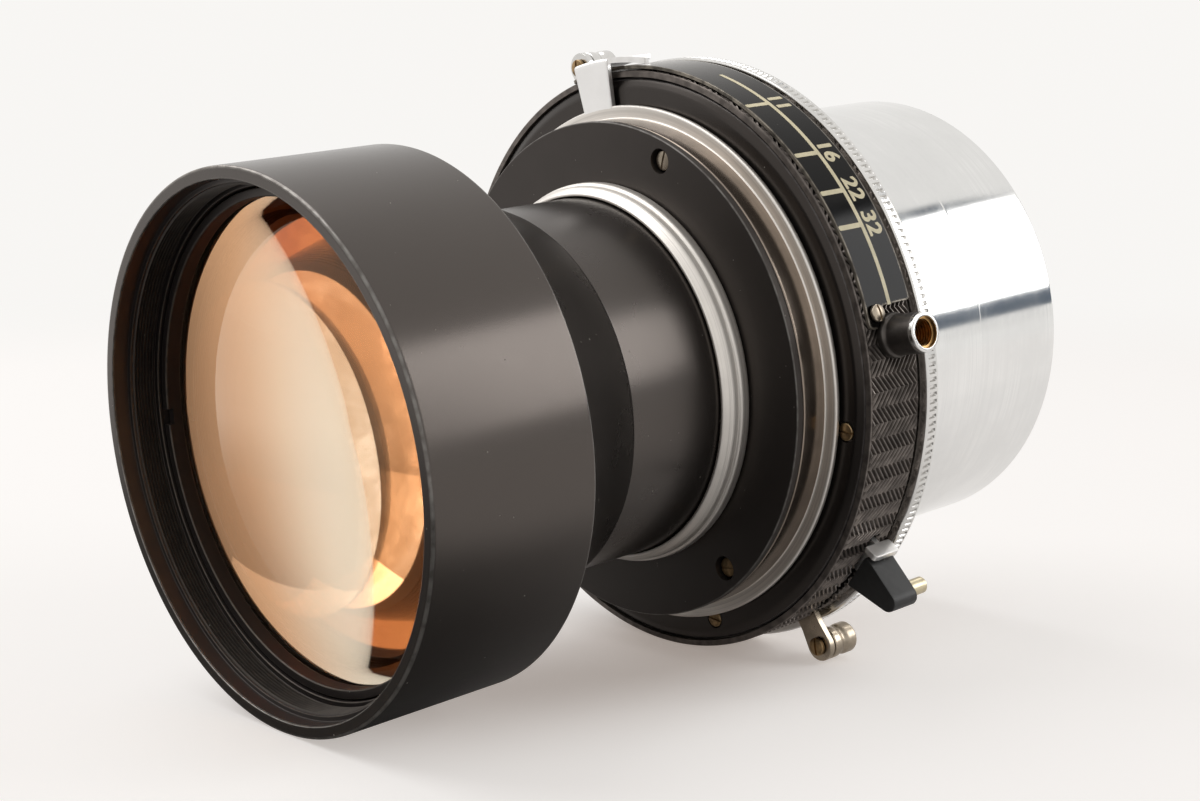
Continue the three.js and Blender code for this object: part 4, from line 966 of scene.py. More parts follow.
POLISHED_ALUMINIUM = Finish(
    "polished aluminium", Slot.TURNED_ALUMINIUM, (0.93, 0.93, 0.925), 0.06, metallic=1.0, lines=0.0012,
    fineness=2.5, line_gloss=0.06, line_shade=0.03, shade=0.04, smudge=0.05,
)
BRIGHT_CHROME = Finish(
    "bright chrome", Slot.BRIGHT_CHROME, (0.90, 0.895, 0.885), 0.13, metallic=1.0, lines=0.003,
    fineness=4.0, line_gloss=0.08, shade=0.08,
)
WARM_NICKEL = Finish(
    "warm nickel", Slot.WARM_NICKEL, (0.74, 0.69, 0.62), 0.24, metallic=1.0, shade=0.15, grain=0.004,
    grain_size=0.25, smudge=0.12, smudge_size=5.0,
)
SATIN_CHROME = Finish(
    "satin chrome", Slot.BRIGHT_CHROME, (0.98, 0.975, 0.97), 0.30, metallic=1.0, lines=0.002, fineness=4.0,
    line_gloss=0.06, shade=0.03, smudge=0.04, wear=0.3,
)
BROWN_BRASS = Finish(
    "brown worn brass", Slot.BRASS, (0.70, 0.585, 0.43), 0.34, metallic=1.0, shade=0.35, smudge=0.15,
    smudge_size=1.6, grain=0.006, grain_size=0.2, wear=0.3, wear_colour=(0.83, 0.74, 0.58),
)
GOLD_BRASS = Finish(
    "golden brass", Slot.BRASS, (0.80, 0.64, 0.42), 0.28, metallic=1.0, shade=0.25, smudge_size=2.0,
)
# Painted shade for the roots of a thread
ROOT_SHADE_BRASS = Finish(
    "dark brass with painted shade", Slot.BRASS, (0.34, 0.26, 0.17), 0.45, metallic=0.8, shade=0.3, smudge_size=1.5,
)
PALE_BRASS = Finish(
    "pale brass", Slot.BRASS, (0.83, 0.78, 0.66), 0.26, metallic=1.0, shade=0.12, smudge_size=4.0,
    line_gloss=0.1,
)
BLACK_PLASTIC = Finish(
    "matte black grip", Slot.BLACK_PLASTIC, (0.068, 0.066, 0.064), 0.46, grain=0.010, grain_size=0.25,
    dust=0.10, wear=0.12, wear_colour=(0.40, 0.40, 0.40), wear_metallic=0.0,
)
BLADE_STEEL = Finish(
    "blackened blade steel", Slot.BLACKENED_BLADE, (0.16, 0.16, 0.17), 0.38, metallic=0.7, smudge=0.12,
    shade=0.25,
)
SPRING_STEEL = Finish(
    "bright spring steel", Slot.SPRING_STEEL, (0.66, 0.66, 0.66), 0.28, metallic=1.0, line_gloss=0.1,
)
CREAM_PAINT = Finish(
    "cream scale paint", Slot.BLACK_GLOSS, (1.0, 0.95, 0.80), 0.45, shade=0.06, smudge_size=2.0, grain=0.008,
    grain_size=0.25,
)
FRONT_GLASS = GlassFinish("front glass, amber coat", (1.0, 0.96, 0.91), 0.01, (1.0, 0.88, 0.70))
# Painted light: the rear coat pales towards +X, standing in for the brighter light seen through the glass
# there
REAR_COAT = GlassFinish(
    "front glass, peach coat at the rear", (0.96, 0.77, 0.61), 0.92, (1.0, 0.85, 0.74),
    painted_light_colour=(1.0, 0.975, 0.92),
)
PAIR_GLASS = GlassFinish("cemented glass, peach coat", (1.0, 0.90, 0.78), 0.80, (1.0, 0.87, 0.72))
CLEAR_GLASS = GlassFinish("inner glass, amber coat", (1.0, 0.93, 0.82), 0.10, (1.0, 0.85, 0.65))


# The lens, from its hood to its rear glass


@dataclass(frozen=True)
class Glass:
    """A round glass. A curve is its surface's radius, hollow when negative and flat at 0."""

    name: str
    node: str
    finish: GlassFinish
    radius: float
    clear: float  # radius at which the curved surfaces start
    front: float  # where its edge starts along the axis
    rear: float
    front_curve: float
    rear_curve: float
    steps: int = RIM_STEPS
    edge: float = 0.25

    def surface(self, place: float, curve: float, side: int) -> Outline:
        """One face of the glass, from its middle outwards.

        Args:
            place: Where the face's edge is along the axis.
            curve: The radius of its surface.
            side: -1 for the front and 1 for the rear.

        Returns:
            The (r, y) points.
        """
        points = []
        for step in range(GLASS_STEPS + 1):
            r = self.clear * step / GLASS_STEPS
            rise = 0.0
            if curve:
                rise = math.sqrt(curve**2 - r**2) - math.sqrt(curve**2 - self.clear**2)
            points.append((r, place + side * math.copysign(rise, curve)))
        return points

    def build(self) -> Mesh:
        """Turns the glass and gives it its coat."""
        land = [(self.radius, self.front, self.edge), (self.radius, self.rear, self.edge)]
        rear = self.surface(self.rear, self.rear_curve, 1)[::-1]
        glass = turn(self.name, self.surface(self.front, self.front_curve, -1) + land + rear, self.steps)
        return dress(glass, self.finish, nodes=(self.node,))


@dataclass(frozen=True)
class Ring:
    """A plain ring of rectangular section."""

    name: str
    node: str
    finish: Finish
    inner: float
    outer: float
    front: float
    rear: float
    eases: tuple[float, float, float, float]  # of the edges: front inner, front outer, rear outer, rear inner

    def make(self) -> Mesh:
        """Turns the ring, still without its finish."""
        inner, outer, front, rear = self.inner, self.outer, self.front, self.rear
        corners = ((inner, front), (outer, front), (outer, rear), (inner, rear))
        return turn(self.name, [(*corner, ease) for corner, ease in zip(corners, self.eases)])

    def finished(self, ring: Mesh) -> Mesh:
        """Gives the turned ring its finish, after any cuts."""
        return dress(ring, self.finish, nodes=(self.node,))

    def build(self) -> Mesh:
        """Turns the ring and gives it its finish."""
        return self.finished(self.make())


@dataclass
class FrontCell:
    """Hood, front glasses, cone and neck, with the collar and the black disc behind them."""

    hood_radius: float = 50.0
    hood_length: float = 34.0
    lip_radius: float = 47.6
    lip_depth: float = 3.2
    rib_radius: float = 46.7
    rib_end: float = 8.4
    rib_pitch: float = 0.65
    rib_depth: float = 0.4
    glass_bore: float = 45.6
    seat_radius: float = 43.2
    seat_start: float = 17.0
    seat_end: float = 20.0
    bore_radius: float = 45.0
    front_ring: Ring = Ring(
        "front_glass_ring", "front_retaining_ring", MOUTH_BLACK, 43.6, 45.3, 9.0, 12.0, (0.35, 0.2, 0, 0.2)
    )
    spanner_depth: float = 1.2
    spanner_width: float = 3.0
    front_glass: Glass = Glass("front_glass", "front_element", FRONT_GLASS, 45.3, 43.4, 12.3, 16.7, 110, 0)
    pair_front_glass: Glass = Glass(
        "pair_front_glass", "doublet_crown", PAIR_GLASS, 41.7, 39.3, 23.0, 26.0, 260, 290
    )
    pair_rear_glass: Glass = Glass(
        "pair_rear_glass", "doublet_flint", CLEAR_GLASS, 41.7, 39.3, 26.3, 31.2, -290, 0
    )
    pair_ring: Ring = Ring(
        "pair_glass_ring", "doublet_retaining_ring", MOUTH_BLACK, 39.5, 41.7, 20.5, 22.7, (0.3, 0.2, 0, 0.2)
    )
    neck_glass: Glass = Glass(
        "neck_glass", "inner_element", CLEAR_GLASS, 32.0, 30.2, 69.9, 74.9, 0, 120, INNER_STEPS
    )
    sleeve_bore: float = 42.0
    sleeve_radius: float = 44.7
    cone_radius: float = 35.6  # where it meets the neck
    cone_end: float = 55.6
    neck_radius: float = 35.0
    neck_bore: float = 32.3
    neck_end: float = 85.2
    glass_seat: tuple[float, float, float] = (30.5, 66.5, 69.6)  # in the neck: radius, front, rear
    collar_bore: float = 35.3
    collar_step: float = 37.0
    collar_radius: float = 37.5
    collar_front: float = 77.6
    collar_rear: float = 83.1
    disc: Ring = Ring("black_disc", "flange_disc", DISC_BLACK, 35.3, 49.0, 83.4, 84.9, (0.2, 0.3, 0.15, 0))
    hole_circle: float = 45.0
    hole_radius: float = 2.4
    hole_angles: tuple[float, ...] = (68.5, 188.5, 308.5)
    screw: ScrewHead = field(default_factory=lambda: ScrewHead(1.9, 0.7, 0.45, 0.35))
    slot_turn: float = 40.0  # of each screw, from its angle
    drill: float = 6.0

    def build(self) -> None:
        """Builds the front cell from front to rear."""
        self.make_hood()
        self.make_front_ring()
        self.make_glasses()
        self.make_tube()
        self.make_collar()
        self.make_disc()

    def make_hood(self) -> Mesh:
        """The large black sleeve, with fine ribs inside its mouth."""
        ribs: Outline = []
        place = self.lip_depth + self.rib_pitch
        while place < self.rib_end - self.rib_pitch / 2:
            ribs += [
                (self.rib_radius, place - self.rib_pitch * 0.25), (self.rib_radius - self.rib_depth, place),
                (self.rib_radius, place + self.rib_pitch * 0.25),
            ]
            place += self.rib_pitch
        mouth = turn(
            "hood_mouth_lining",
            [
                (self.lip_radius, 0.3, 0.12), (self.lip_radius, self.lip_depth, 0.15),
                (self.rib_radius, self.lip_depth, 0.15), *ribs, (self.rib_radius, self.rib_end, 0.15),
                (self.glass_bore, self.rib_end, 0.25), (self.glass_bore, self.seat_start),
                (self.seat_radius, self.seat_start, 0.2), (self.seat_radius, self.seat_end),
                (self.bore_radius + 0.4, self.seat_end), (self.bore_radius + 2.2, self.seat_end),
                (self.lip_radius + 0.5, self.seat_start - CUT_MARGIN), (self.lip_radius + 0.5, 0.3),
            ],
        )
        dress(mouth, MOUTH_BLACK)
        shell = turn(
            "hood_shell",
            [
                (self.lip_radius + 0.05, 0.0, 0.25), (self.hood_radius, 0.0, 0.6),
                (self.hood_radius, self.hood_length, 0.4), (self.bore_radius, self.hood_length, 0.3),
                (self.bore_radius, self.seat_end + 0.2), (self.lip_radius + 0.6, self.seat_end + 0.2),
                (self.lip_radius + 0.6, 0.8), (self.lip_radius + 0.05, 0.6),
            ],
        )
        return dress(shell, SATIN_BLACK, nodes=("front_hood",))

    def make_front_ring(self) -> Mesh:
        """The ring that holds the front glass, with its two spanner slots."""
        ring = self.front_ring
        turned = ring.make()
        size = (2 * (ring.outer + CUT_MARGIN), 2 * self.spanner_depth, self.spanner_width)
        saw = box_at("ring_saw", size, Matrix.Translation((0, ring.front, 0)))
        return ring.finished(cut_away(turned, saw))

    def make_glasses(self) -> None:
        """The front glass, the cemented pair with its ring, and the glass in the neck."""
        glass = self.front_glass
        back, reach = glass.rear - 0.1, glass.clear + 0.1
        paint(glass.build(), REAR_COAT, Matrix(), lambda radius, place: place > back and radius < reach)
        self.pair_front_glass.build()
        self.pair_rear_glass.build()
        self.pair_ring.build()
        self.neck_glass.build()
        dress_node("inner_retaining_ring", MOUTH_BLACK)

    def make_tube(self) -> Mesh:
        """Sleeve, cone and neck in one turned piece."""
        seat, seat_front, seat_rear = self.glass_seat
        tube = turn(
            "cell_tube",
            [
                (self.sleeve_bore, self.seat_end + SEAT_GAP, 0.2),
                (self.sleeve_radius, self.seat_end + SEAT_GAP, 0.2),
                (self.sleeve_radius, self.hood_length, 0.3), (self.cone_radius, self.cone_end, 0.25),
                (self.neck_radius, self.cone_end + 0.6, 0.3), (self.neck_radius, self.neck_end),
                (self.neck_bore, self.neck_end), (self.neck_bore, seat_rear), (seat, seat_rear, 0.2),
                (seat, seat_front, 0.2), (self.neck_bore, seat_front), (self.neck_bore, self.cone_end),
                (self.sleeve_bore - 1.8, self.hood_length - 2.5, 0.2),
                (self.sleeve_bore, self.hood_length - 2.5),
            ],
        )
        return dress(tube, NECK_BLACK, nodes=("front_cell_tube",))

    def make_collar(self) -> Mesh:
        """The bright collar on the neck."""
        collar = turn(
            "bright_collar",
            [
                (self.collar_bore, self.collar_front, 0.2), (self.collar_bore + 0.5, self.collar_front, 0.2),
                (self.collar_step - 0.1, self.collar_front + 1.7, 0.6),
                (self.collar_step, self.collar_front + 3.1, 0.08),
                (self.collar_radius, self.collar_front + 3.35, 0.6),
                (self.collar_radius, self.collar_rear, 0.6), (self.collar_bore, self.collar_rear),
            ],
        )
        return dress(collar, BRIGHT_ALUMINIUM, nodes=("neck_collar",))

    def make_disc(self) -> None:
        """The black disc with its three holes and the screws in them."""
        disc = self.disc.make()
        middle = (self.disc.front + self.disc.rear) / 2
        for index, angle in enumerate(self.hole_angles):
            x, z = polar(self.hole_circle, angle)
            drilled(disc, self.hole_radius, self.drill, Matrix.Translation((x, middle, z)))
            place = facing_front(x, self.disc.rear, z)
            finish = BROWN_BRASS if index else WARM_NICKEL
            name, node = f"hole_screw_{index + 1}", f"disc_screw_{index + 1}"
            self.screw.fit(name, angle + self.slot_turn, place, finish, node)
        self.disc.finished(disc)


@dataclass
class IrisUnit:
    """Iris housing, blades, cam ring, and the bright aperture ring with its folded arm."""

    boss_bore: float = 46.9
    boss_radius: float = 48.9
    boss_front: float = 85.2
    flange_front: float = 91.0
    flange_rear: float = 92.2
    flange_radius: float = 51.4
    arm_angles: tuple[float, float] = (94.9, 104.4)
    arm_inner: float = 59.6
    arm_outer: float = 60.7
    arm_rear: float = 103.0
    arm_root: float = 1.5  # how far the arm reaches into the flange
    arm_steps: int = 16
    pointer_angle: float = 84.6
    pointer_width: float = 3.2
    pointer_tip: float = 1.0
    blades: int = 8

    def build(self) -> None:
        """Builds the iris unit."""
        self.make_aperture_ring()
        dress_node("iris_housing", DISC_BLACK)
        dress_node("iris_cam_ring", BLADE_STEEL)
        for index in range(self.blades):
            dress_node(f"iris_blade_{index + 1}", BLADE_STEEL)

    def make_aperture_ring(self) -> Mesh:
        """Boss, thin flange, the arm folded over the rim and its pointer along the scale."""
        ring = turn(
            "aperture_control_ring",
            [
                (self.boss_bore, self.boss_front), (self.boss_radius, self.boss_front, 0.35),
                (self.boss_radius, self.flange_front, 0.3), (self.flange_radius, self.flange_front, 0.5),
                (self.flange_radius, self.flange_rear, 0.5), (self.boss_bore, self.flange_rear),
            ],
        )
        arm = turn(
            "aperture_arm",
            [
                (self.flange_radius - self.arm_root, self.flange_front + INSET),
                (self.arm_outer, self.flange_front + INSET, 0.9), (self.arm_outer, self.arm_rear, 0.4),
                (self.arm_inner, self.arm_rear, 0.4), (self.arm_inner, self.flange_rear - INSET, 0.3),
                (self.flange_radius - self.arm_root, self.flange_rear - INSET),
            ],
            self.arm_steps,
            self.arm_angles,
        )
        soften(arm, 0.25, turn_over=60)
        start = self.arm_angles[0] + 1
        front = self.flange_front + 0.3
        pointer = wrap_sheet(
            "aperture_pointer",
            [
                (self.pointer_angle, front, 0.3), (start, front), (start, front + self.pointer_width + 2.0),
                (start - 1.4, front + self.pointer_width, 1.0),
                (self.pointer_angle, front + self.pointer_tip, 0.3),
            ],
            self.arm_inner,
            self.arm_outer - 0.02,
            0.2,
        )
        dress(joined(ring, arm, pointer), BRIGHT_ALUMINIUM, Body.APERTURE, ("aperture_ring",))
        boss = (self.boss_radius + 0.05, self.flange_front - 0.3)
        paint(ring, SMOOTH_NICKEL, Matrix(), lambda radius, place: radius < boss[0] and place < boss[1])
        paint(ring, SATIN_CHROME, Matrix(), lambda radius, place: radius > self.flange_radius + 0.4)
        return ring


@dataclass
class RimKnurl:
    """The herringbone cut round the housing: bands of slanted ridges that meet in points."""

    radius: float = 57.9
    depth: float = 0.5
    front: float = 93.75
    rear: float = 106.5
    pitch: float = 1.16
    repeats: int = 62
    slant: float = 2.3  # how far a ridge runs along the axis across one band
    columns: int = 4  # in one repeat
    stops: tuple[float, ...] = (0.0, 0.14, 0.46, 0.62)  # start and end of groove and ridge, in pitches
    cuts: tuple[float, ...] = (1.0, 1.0, 0.0, 0.0)  # share of the depth at each stop

    def height(self, phase: float) -> float:
        """Depth of the cut below the ridges at a share of one pitch."""
        stops = (*zip(self.stops, self.cuts), (1.0, self.cuts[0]))
        phase %= 1.0
        for (a, first), (b, second) in zip(stops, stops[1:]):
            if a <= phase <= b:
                return (first + (second - first) * (phase - a) / (b - a)) * self.depth
        return 0.0

    def column(self, share: float) -> Outline:
        """The (r, y) points of the knurl at a share of one repeat.

        Args:
            share: From 0 to 1 across the repeat; the ridges meet at 0, 0.5 and 1.

        Returns:
            Points from front to rear, the same number for every share.
        """
        shift = self.slant * (1 - abs(2 * share - 1))
        count = math.ceil((self.rear - self.front + self.slant) / self.pitch) + 1
        points = []
        for index in range(count):
            for stop in self.stops:
                place = self.front + (index + stop) * self.pitch - shift
                y = min(max(place, self.front), self.rear)
                phase = stop if y == place else (y - self.front + shift) / self.pitch
                points.append((self.radius - self.height(phase), y))
        return points


def revolve_columns(name: str, columns: list[Outline], angles: list[float], repeats: int) -> Mesh:
    """Makes one repeat of a patterned ring from a closed section at each angle, and copies it round.

    Args:
        name: What the piece is called.
        columns: A closed section at each of the angles, with as many points each.
        angles: The angles of one repeat, in degrees.
        repeats: How many repeats go round the lens.

    Returns:
        A closed mesh in the lens frame.
    """
    across, along = len(columns) - 1, len(columns[0])
    deselect_all()
    bpy.ops.mesh.primitive_grid_add(x_subdivisions=across, y_subdivisions=along, size=1)
    obj = bpy.context.object
    obj.name = name
    for vertex in obj.data.vertices:
        column = round((vertex.co.x + 0.5) * across)
        r, y = columns[column][round((vertex.co.y + 0.5) * along) % along]
        x, z = polar(r, angles[column])
        vertex.co = (x, y, z)
    bpy.ops.object.mode_set(mode="EDIT")
    bpy.ops.mesh.select_all(action="SELECT")
    bpy.ops.mesh.remove_doubles(threshold=MERGE)
    bpy.ops.mesh.select_all(action="SELECT")
    step = math.tau / repeats
    bpy.ops.mesh.spin(
        steps=repeats - 1, dupli=True, angle=step * (repeats - 1), center=(0, 0, 0), axis=(0, 1, 0)
    )
    return settle(obj)


@dataclass(frozen=True)
class CableSocket:
    """The cable release socket, which stands on the rim, with the thread in its bore."""

    angle: float = 9.6
    place: float = 100.2
    seat: float = 58.2
    top: float = 66.2
    flange_radius: float = 4.2
    body_radius: float = 3.75
    top_radius: float = 3.65
    top_height: float = 0.9
    bore: float = 2.75
    bore_depth: float = 6.4
    thread_root: float = 3.0
    thread_crest: float = 2.47
    thread_pitch: float = 0.62
    thread_shape: tuple[float, float, float] = (0.16, 0.30, 0.48)  # from a root to the crest and over it
    thread_depths: tuple[float, float] = (0.5, 6.0)  # of its start and its end
    steps: int = 48

    def stand(self) -> Matrix:
        """Where it stands on the rim."""
        return on_rim(self.angle, self.place)

    def build(self) -> Mesh:
        """Turns the socket and gives its top, bore and thread their finishes, the thread's roots in painted
        shade.
        """
        seat, top, body, root = self.seat, self.top, self.body_radius, self.thread_root
        first, last = self.thread_depths
        slope, crest, back = self.thread_shape
        thread: Outline = []
        place = top - first
        while place > top - last:
            thread += [
                (root, place), (root, place - slope), (self.thread_crest, place - crest),
                (self.thread_crest, place - back),
            ]
            place -= self.thread_pitch
        socket = turn(
            "cable_release_socket",
            [
                (0, seat), (self.flange_radius, seat, 0.1), (self.flange_radius, seat + 1.2, 0.5),
                (body, seat + 1.7, 0.3), (body, top - self.top_height - 0.1, 0.1),
                (self.top_radius, top - self.top_height), (self.top_radius, top, 0.35), (self.bore, top, 0.2),
                *thread, (self.bore, top - self.bore_depth), (0, top - self.bore_depth),
            ],
            self.steps,
        )
        stand = self.stand()
        dress(moved(socket, stand), BRIGHT_CHROME, nodes=("cable_socket",))
        paint(socket, DARK_NICKEL, stand, lambda radius, place: place < top - self.top_height)
        paint(socket, GOLD_BRASS, stand, lambda radius, place: radius < root - 0.03)
        # Painted shade: the thread's roots are darker brass
        paint(socket, ROOT_SHADE_BRASS, stand, lambda radius, place: self.bore + 0.1 < radius < root + 0.05)
        return socket


@dataclass
class ShutterHousing:
    """Back plate, knurled housing, scale, cable socket, speed ring and the mechanism inside."""

    plate_face: float = 54.6
    plate_radius: float = 56.4
    plate_front: float = 92.8
    plate_rear: float = 94.6
    plate_bore: float = 33.0
    sink_radius: float = 2.0  # of the holes that the plate's screws are sunk in
    screw_circle: float = 52.3
    screw_angles: tuple[float, ...] = (-8.2, -73.6, -139.0, 155.6)
    plate_screw: ScrewHead = field(default_factory=lambda: ScrewHead(1.7, 0.8, 0.45, 0.4))
    scale_screw: ScrewHead = field(default_factory=lambda: ScrewHead(1.6, 1.0, 0.5, 0.5, 0.35, 0.3))
    rim_front: float = 93.2
    rim_rear: float = 106.9
    rim_bore: float = 54.5
    rim_ledge: float = 94.9
    rim_step: float = 56.7  # radius of the ledge that the plate lies in
    rim_edge: tuple[tuple[float, float], ...] = ((0.35, 0.0), (0.08, 0.12), (0.0, 0.35))  # depth and place
    knurl: RimKnurl = field(default_factory=RimKnurl)
    slots: tuple[tuple[str, tuple[float, float], tuple[float, float]], ...] = (
        ("setting_slot", (-54.5, -30.7), (101.24, 103.34)),
        ("release_slot", (-63.154, -55.202), (103.8, 106.0)),
        ("focus_slot", (112.846, 123.264), (103.8, 106.0)),
    )  # the angles and the places between which each lever's slot lies
    scale_inner: float = 58.2
    scale_radius: float = 58.9
    scale_outline: tuple[tuple[float, float, float], ...] = (
        (11.4, 93.9, 1.4), (109.0, 93.9, 1.2), (109.0, 105.9, 1.2), (15.2, 105.9, 0.8),
        (15.2, 98.4, 0.5), (11.4, 98.4, 1.4),
    )  # angle, place and rounding of each corner
    scale_screws: tuple[tuple[float, float], ...] = ((14.1, 84), (107.0, 60))  # angle, turn of the slot
    scale_screw_place: float = 96.1
    line_angles: tuple[float, float] = (15.1, 73.4)
    line_places: tuple[float, float] = (99.78, 100.68)
    ticks: tuple[tuple[float, str], ...] = ((60.3, "11"), (45.9, "16"), (37.2, "22"), (30.1, "32"))
    tick_width: float = 0.96
    tick_places: tuple[float, float] = (94.2, 100.2)
    number_size: float = 5.0
    number_place: float = 101.35
    number_spacing: float = 1.06
    number_bends: int = 4  # cuts on either side of the middle, which let it bend with the rim
    bend_step: float = 0.8
    paint_height: float = 0.04
    paint_swell: float = 0.05
    stroke: tuple[tuple[float, float, float], ...] = (
        (-0.15, 0.05, -0.01), (0.15, -0.05, -0.01), (0.0, 0.14, -0.02),
    )  # moves of a number's copies, which make its strokes bold
    socket: CableSocket = CableSocket()
    bay_radius: float = 4.5  # of the bay that the scale plate leaves for the socket
    bay_middle: float = 59.0
    bay_drill: float = 12.0
    speed_radius: float = 59.2
    speed_bore: float = 48.9
    speed_front: float = 107.2
    speed_rear: float = 110.7
    speed_grooves: int = 264
    groove_depth: float = 0.42
    groove: tuple[tuple[float, float], ...] = (
        (0.0, 1.0), (0.30, 1.0), (0.44, 0.0), (0.86, 0.0), (1.0, 1.0),
    )  # shares of the step from groove to groove, and of the depth there
    cap: Ring = Ring(
        "speed_ring_keeper", "speed_ring_cap", SATIN_BLACK, 46.3, 51.5, 111.0, 112.1, (0, 0.1, 0.3, 0.2)
    )
    shutter_blades: int = 5

    def build(self) -> None:
        """Builds the shutter from front to rear."""
        self.make_plate()
        self.make_rim()
        self.make_scale()
        self.socket.build()
        self.make_speed_ring()
        self.cap.build()
        for index in range(self.shutter_blades):
            dress_node(f"shutter_blade_{index + 1}", BLADE_STEEL)
        for node in ("blade_ring", "mechanism_plate", "mainspring", "rear_plate"):
            dress_node(node, SPRING_STEEL)

    def make_plate(self) -> None:
        """The black plate that closes the housing, with its four sunk screws."""
        plate = turn(
            "housing_plate",
            [
                (self.plate_bore, self.plate_front), (self.plate_face, self.plate_front, 0.5),
                (self.plate_radius, self.plate_front + 0.8, 0.5), (self.plate_radius, self.plate_rear),
                (self.plate_bore, self.plate_rear),
            ],
        )
        for index, angle in enumerate(self.screw_angles):
            x, z = polar(self.screw_circle, angle)
            drilled(plate, self.sink_radius, 2, Matrix.Translation((x, self.plate_front - 0.1, z)))
            place = facing_front(x, self.plate_front + 0.6, z)
            name, node = f"plate_screw_head_{index + 1}", f"plate_screw_{index + 1}"
            self.plate_screw.fit(name, 4 + 3 * index, place, BROWN_BRASS, node)
        dress(plate, PLATE_BLACK, nodes=("back_plate",))

    def make_rim(self) -> Mesh:
        """The housing's band with its herringbone and the slots of the three levers."""
        knurl = self.knurl
        shares = [k / knurl.columns for k in range(knurl.columns + 1)]
        turned = knurl.radius - knurl.depth
        sections = [
            [
                (self.rim_step, self.rim_front),
                *((knurl.radius - depth, self.rim_front + place) for depth, place in self.rim_edge),
                *knurl.column(share), (turned, self.rim_rear - 0.3), (turned - 0.1, self.rim_rear),
                (self.rim_bore, self.rim_rear), (self.rim_bore, self.rim_ledge),
                (self.rim_step, self.rim_ledge),
            ]
            for share in shares
        ]
        band = revolve_columns(
            "knurled_rim", sections, [share * 360 / knurl.repeats for share in shares], knurl.repeats
        )
        slots = [self.slot_cutter(*slot) for slot in self.slots]
        return dress(cut_away(band, *slots), KNURL_BLACK, nodes=("shutter_housing",), smooth=math.radians(25))

    def slot_cutter(self, name: str, angles: tuple[float, float], places: tuple[float, float]) -> Mesh:
        """A block of the shape of a slot through the rim, with round corners."""
        inner, outer = self.rim_bore - 1.5, self.knurl.radius + 1.5
        front, rear = places
        return turn(name, [(inner, front), (outer, front), (outer, rear), (inner, rear)], 16, angles)

    def make_scale(self) -> None:
        """The gloss black scale plate, its marks and the screws at its ends."""
        name, outline = "aperture_scale_plate", list(self.scale_outline)
        plate = wrap_sheet(name, outline, self.scale_inner, self.scale_radius, 0.12)
        bay = self.socket.stand() @ Matrix.Translation((0, self.bay_middle, 0))
        dress(drilled(plate, self.bay_radius, self.bay_drill, bay), GLOSS_BLACK, nodes=("scale_plate",))
        for index, (angle, slot_turn) in enumerate(self.scale_screws):
            outwards = Matrix.Translation((0, self.scale_radius + SEAT_GAP, 0))
            place = on_rim(angle, self.scale_screw_place) @ outwards
            name, node = f"scale_screw_head_{index + 1}", f"scale_screw_{index + 1}"
            self.scale_screw.fit(name, slot_turn, place, WARM_NICKEL, node)
        self.make_marks()

    def make_marks(self) -> Mesh:
        """The cream line, ticks and numbers of the aperture scale."""
        inner, outer = self.scale_radius - 0.05, self.scale_radius + self.paint_height
        (first, last), (front, rear) = self.line_angles, self.line_places
        line = [(first, front), (last, front), (last, rear), (first, rear)]
        marks = [wrap_sheet("scale_line", line, inner, outer)]
        half = math.degrees(self.tick_width / 2 / outer)
        front, rear = self.tick_places
        for angle, label in self.ticks:
            first, last = angle - half, angle + half
            tick = [(first, front, 0.4), (last, front, 0.4), (last, rear), (first, rear)]
            marks.append(wrap_sheet(f"scale_tick_{label}", tick, inner, outer))
            marks.append(self.make_number(label, angle, outer))
        return dress(joined(*marks), CREAM_PAINT)

    def make_number(self, label: str, angle: float, radius: float) -> Mesh:
        """A painted number that reads across the rim.

        Args:
            label: The number.
            angle: The angle of its tick.
            radius: The radius of its face.

        Returns:
            The number as a mesh bent round the rim.
        """
        deselect_all()
        bpy.ops.object.text_add()
        text = bpy.context.object
        text.name = f"scale_number_{label}"
        text.data.body, text.data.size, text.data.extrude = label, self.number_size, self.paint_height
        text.data.align_x, text.data.space_character = "CENTER", self.number_spacing
        text.data.offset = self.paint_swell
        bpy.ops.object.convert(target="MESH")
        number = bpy.context.object
        pick(number)
        bpy.ops.object.mode_set(mode="EDIT")
        for place in range(-self.number_bends, self.number_bends + 1):
            bpy.ops.mesh.select_all(action="SELECT")
            bpy.ops.mesh.bisect(plane_co=(place * self.bend_step, 0, 0), plane_no=(1, 0, 0))
        settle(number)
        copies = [twin(number, f"{number.name}_{step}", Matrix.Translation(step)) for step in self.stroke]
        number = joined(number, *copies)
        for vertex in number.data.vertices:
            x, z = polar(radius + vertex.co.z - self.paint_height, angle - math.degrees(vertex.co.x / radius))
            vertex.co = (x, self.number_place + vertex.co.y, z)
        return tidy_normals(number)

    def make_speed_ring(self) -> Mesh:
        """The bright speed ring with its straight grooves."""
        step = 360 / self.speed_grooves
        sections, angles = [], []
        for share, depth in self.groove:
            low = self.speed_radius - depth * self.groove_depth
            sections.append(
                [
                    (self.speed_bore, self.speed_front), (self.speed_radius - 0.5, self.speed_front),
                    (self.speed_radius - 0.15, self.speed_front + 0.15),
                    (self.speed_radius, self.speed_front + 0.5), (self.speed_radius, self.speed_front + 0.8),
                    (low, self.speed_front + 1.0), (low, self.speed_rear - 0.95),
                    (self.speed_radius, self.speed_rear - 0.75), (self.speed_radius, self.speed_rear - 0.45),
                    (self.speed_radius - 0.15, self.speed_rear - 0.15),
                    (self.speed_radius - 0.5, self.speed_rear), (self.speed_bore, self.speed_rear),
                ]
            )
            angles.append(share * step)
        ring = revolve_columns("speed_control_ring", sections, angles, self.speed_grooves)
        return dress(ring, BRIGHT_CHROME, Body.SPEED, ("speed_ring",), smooth=math.radians(28))


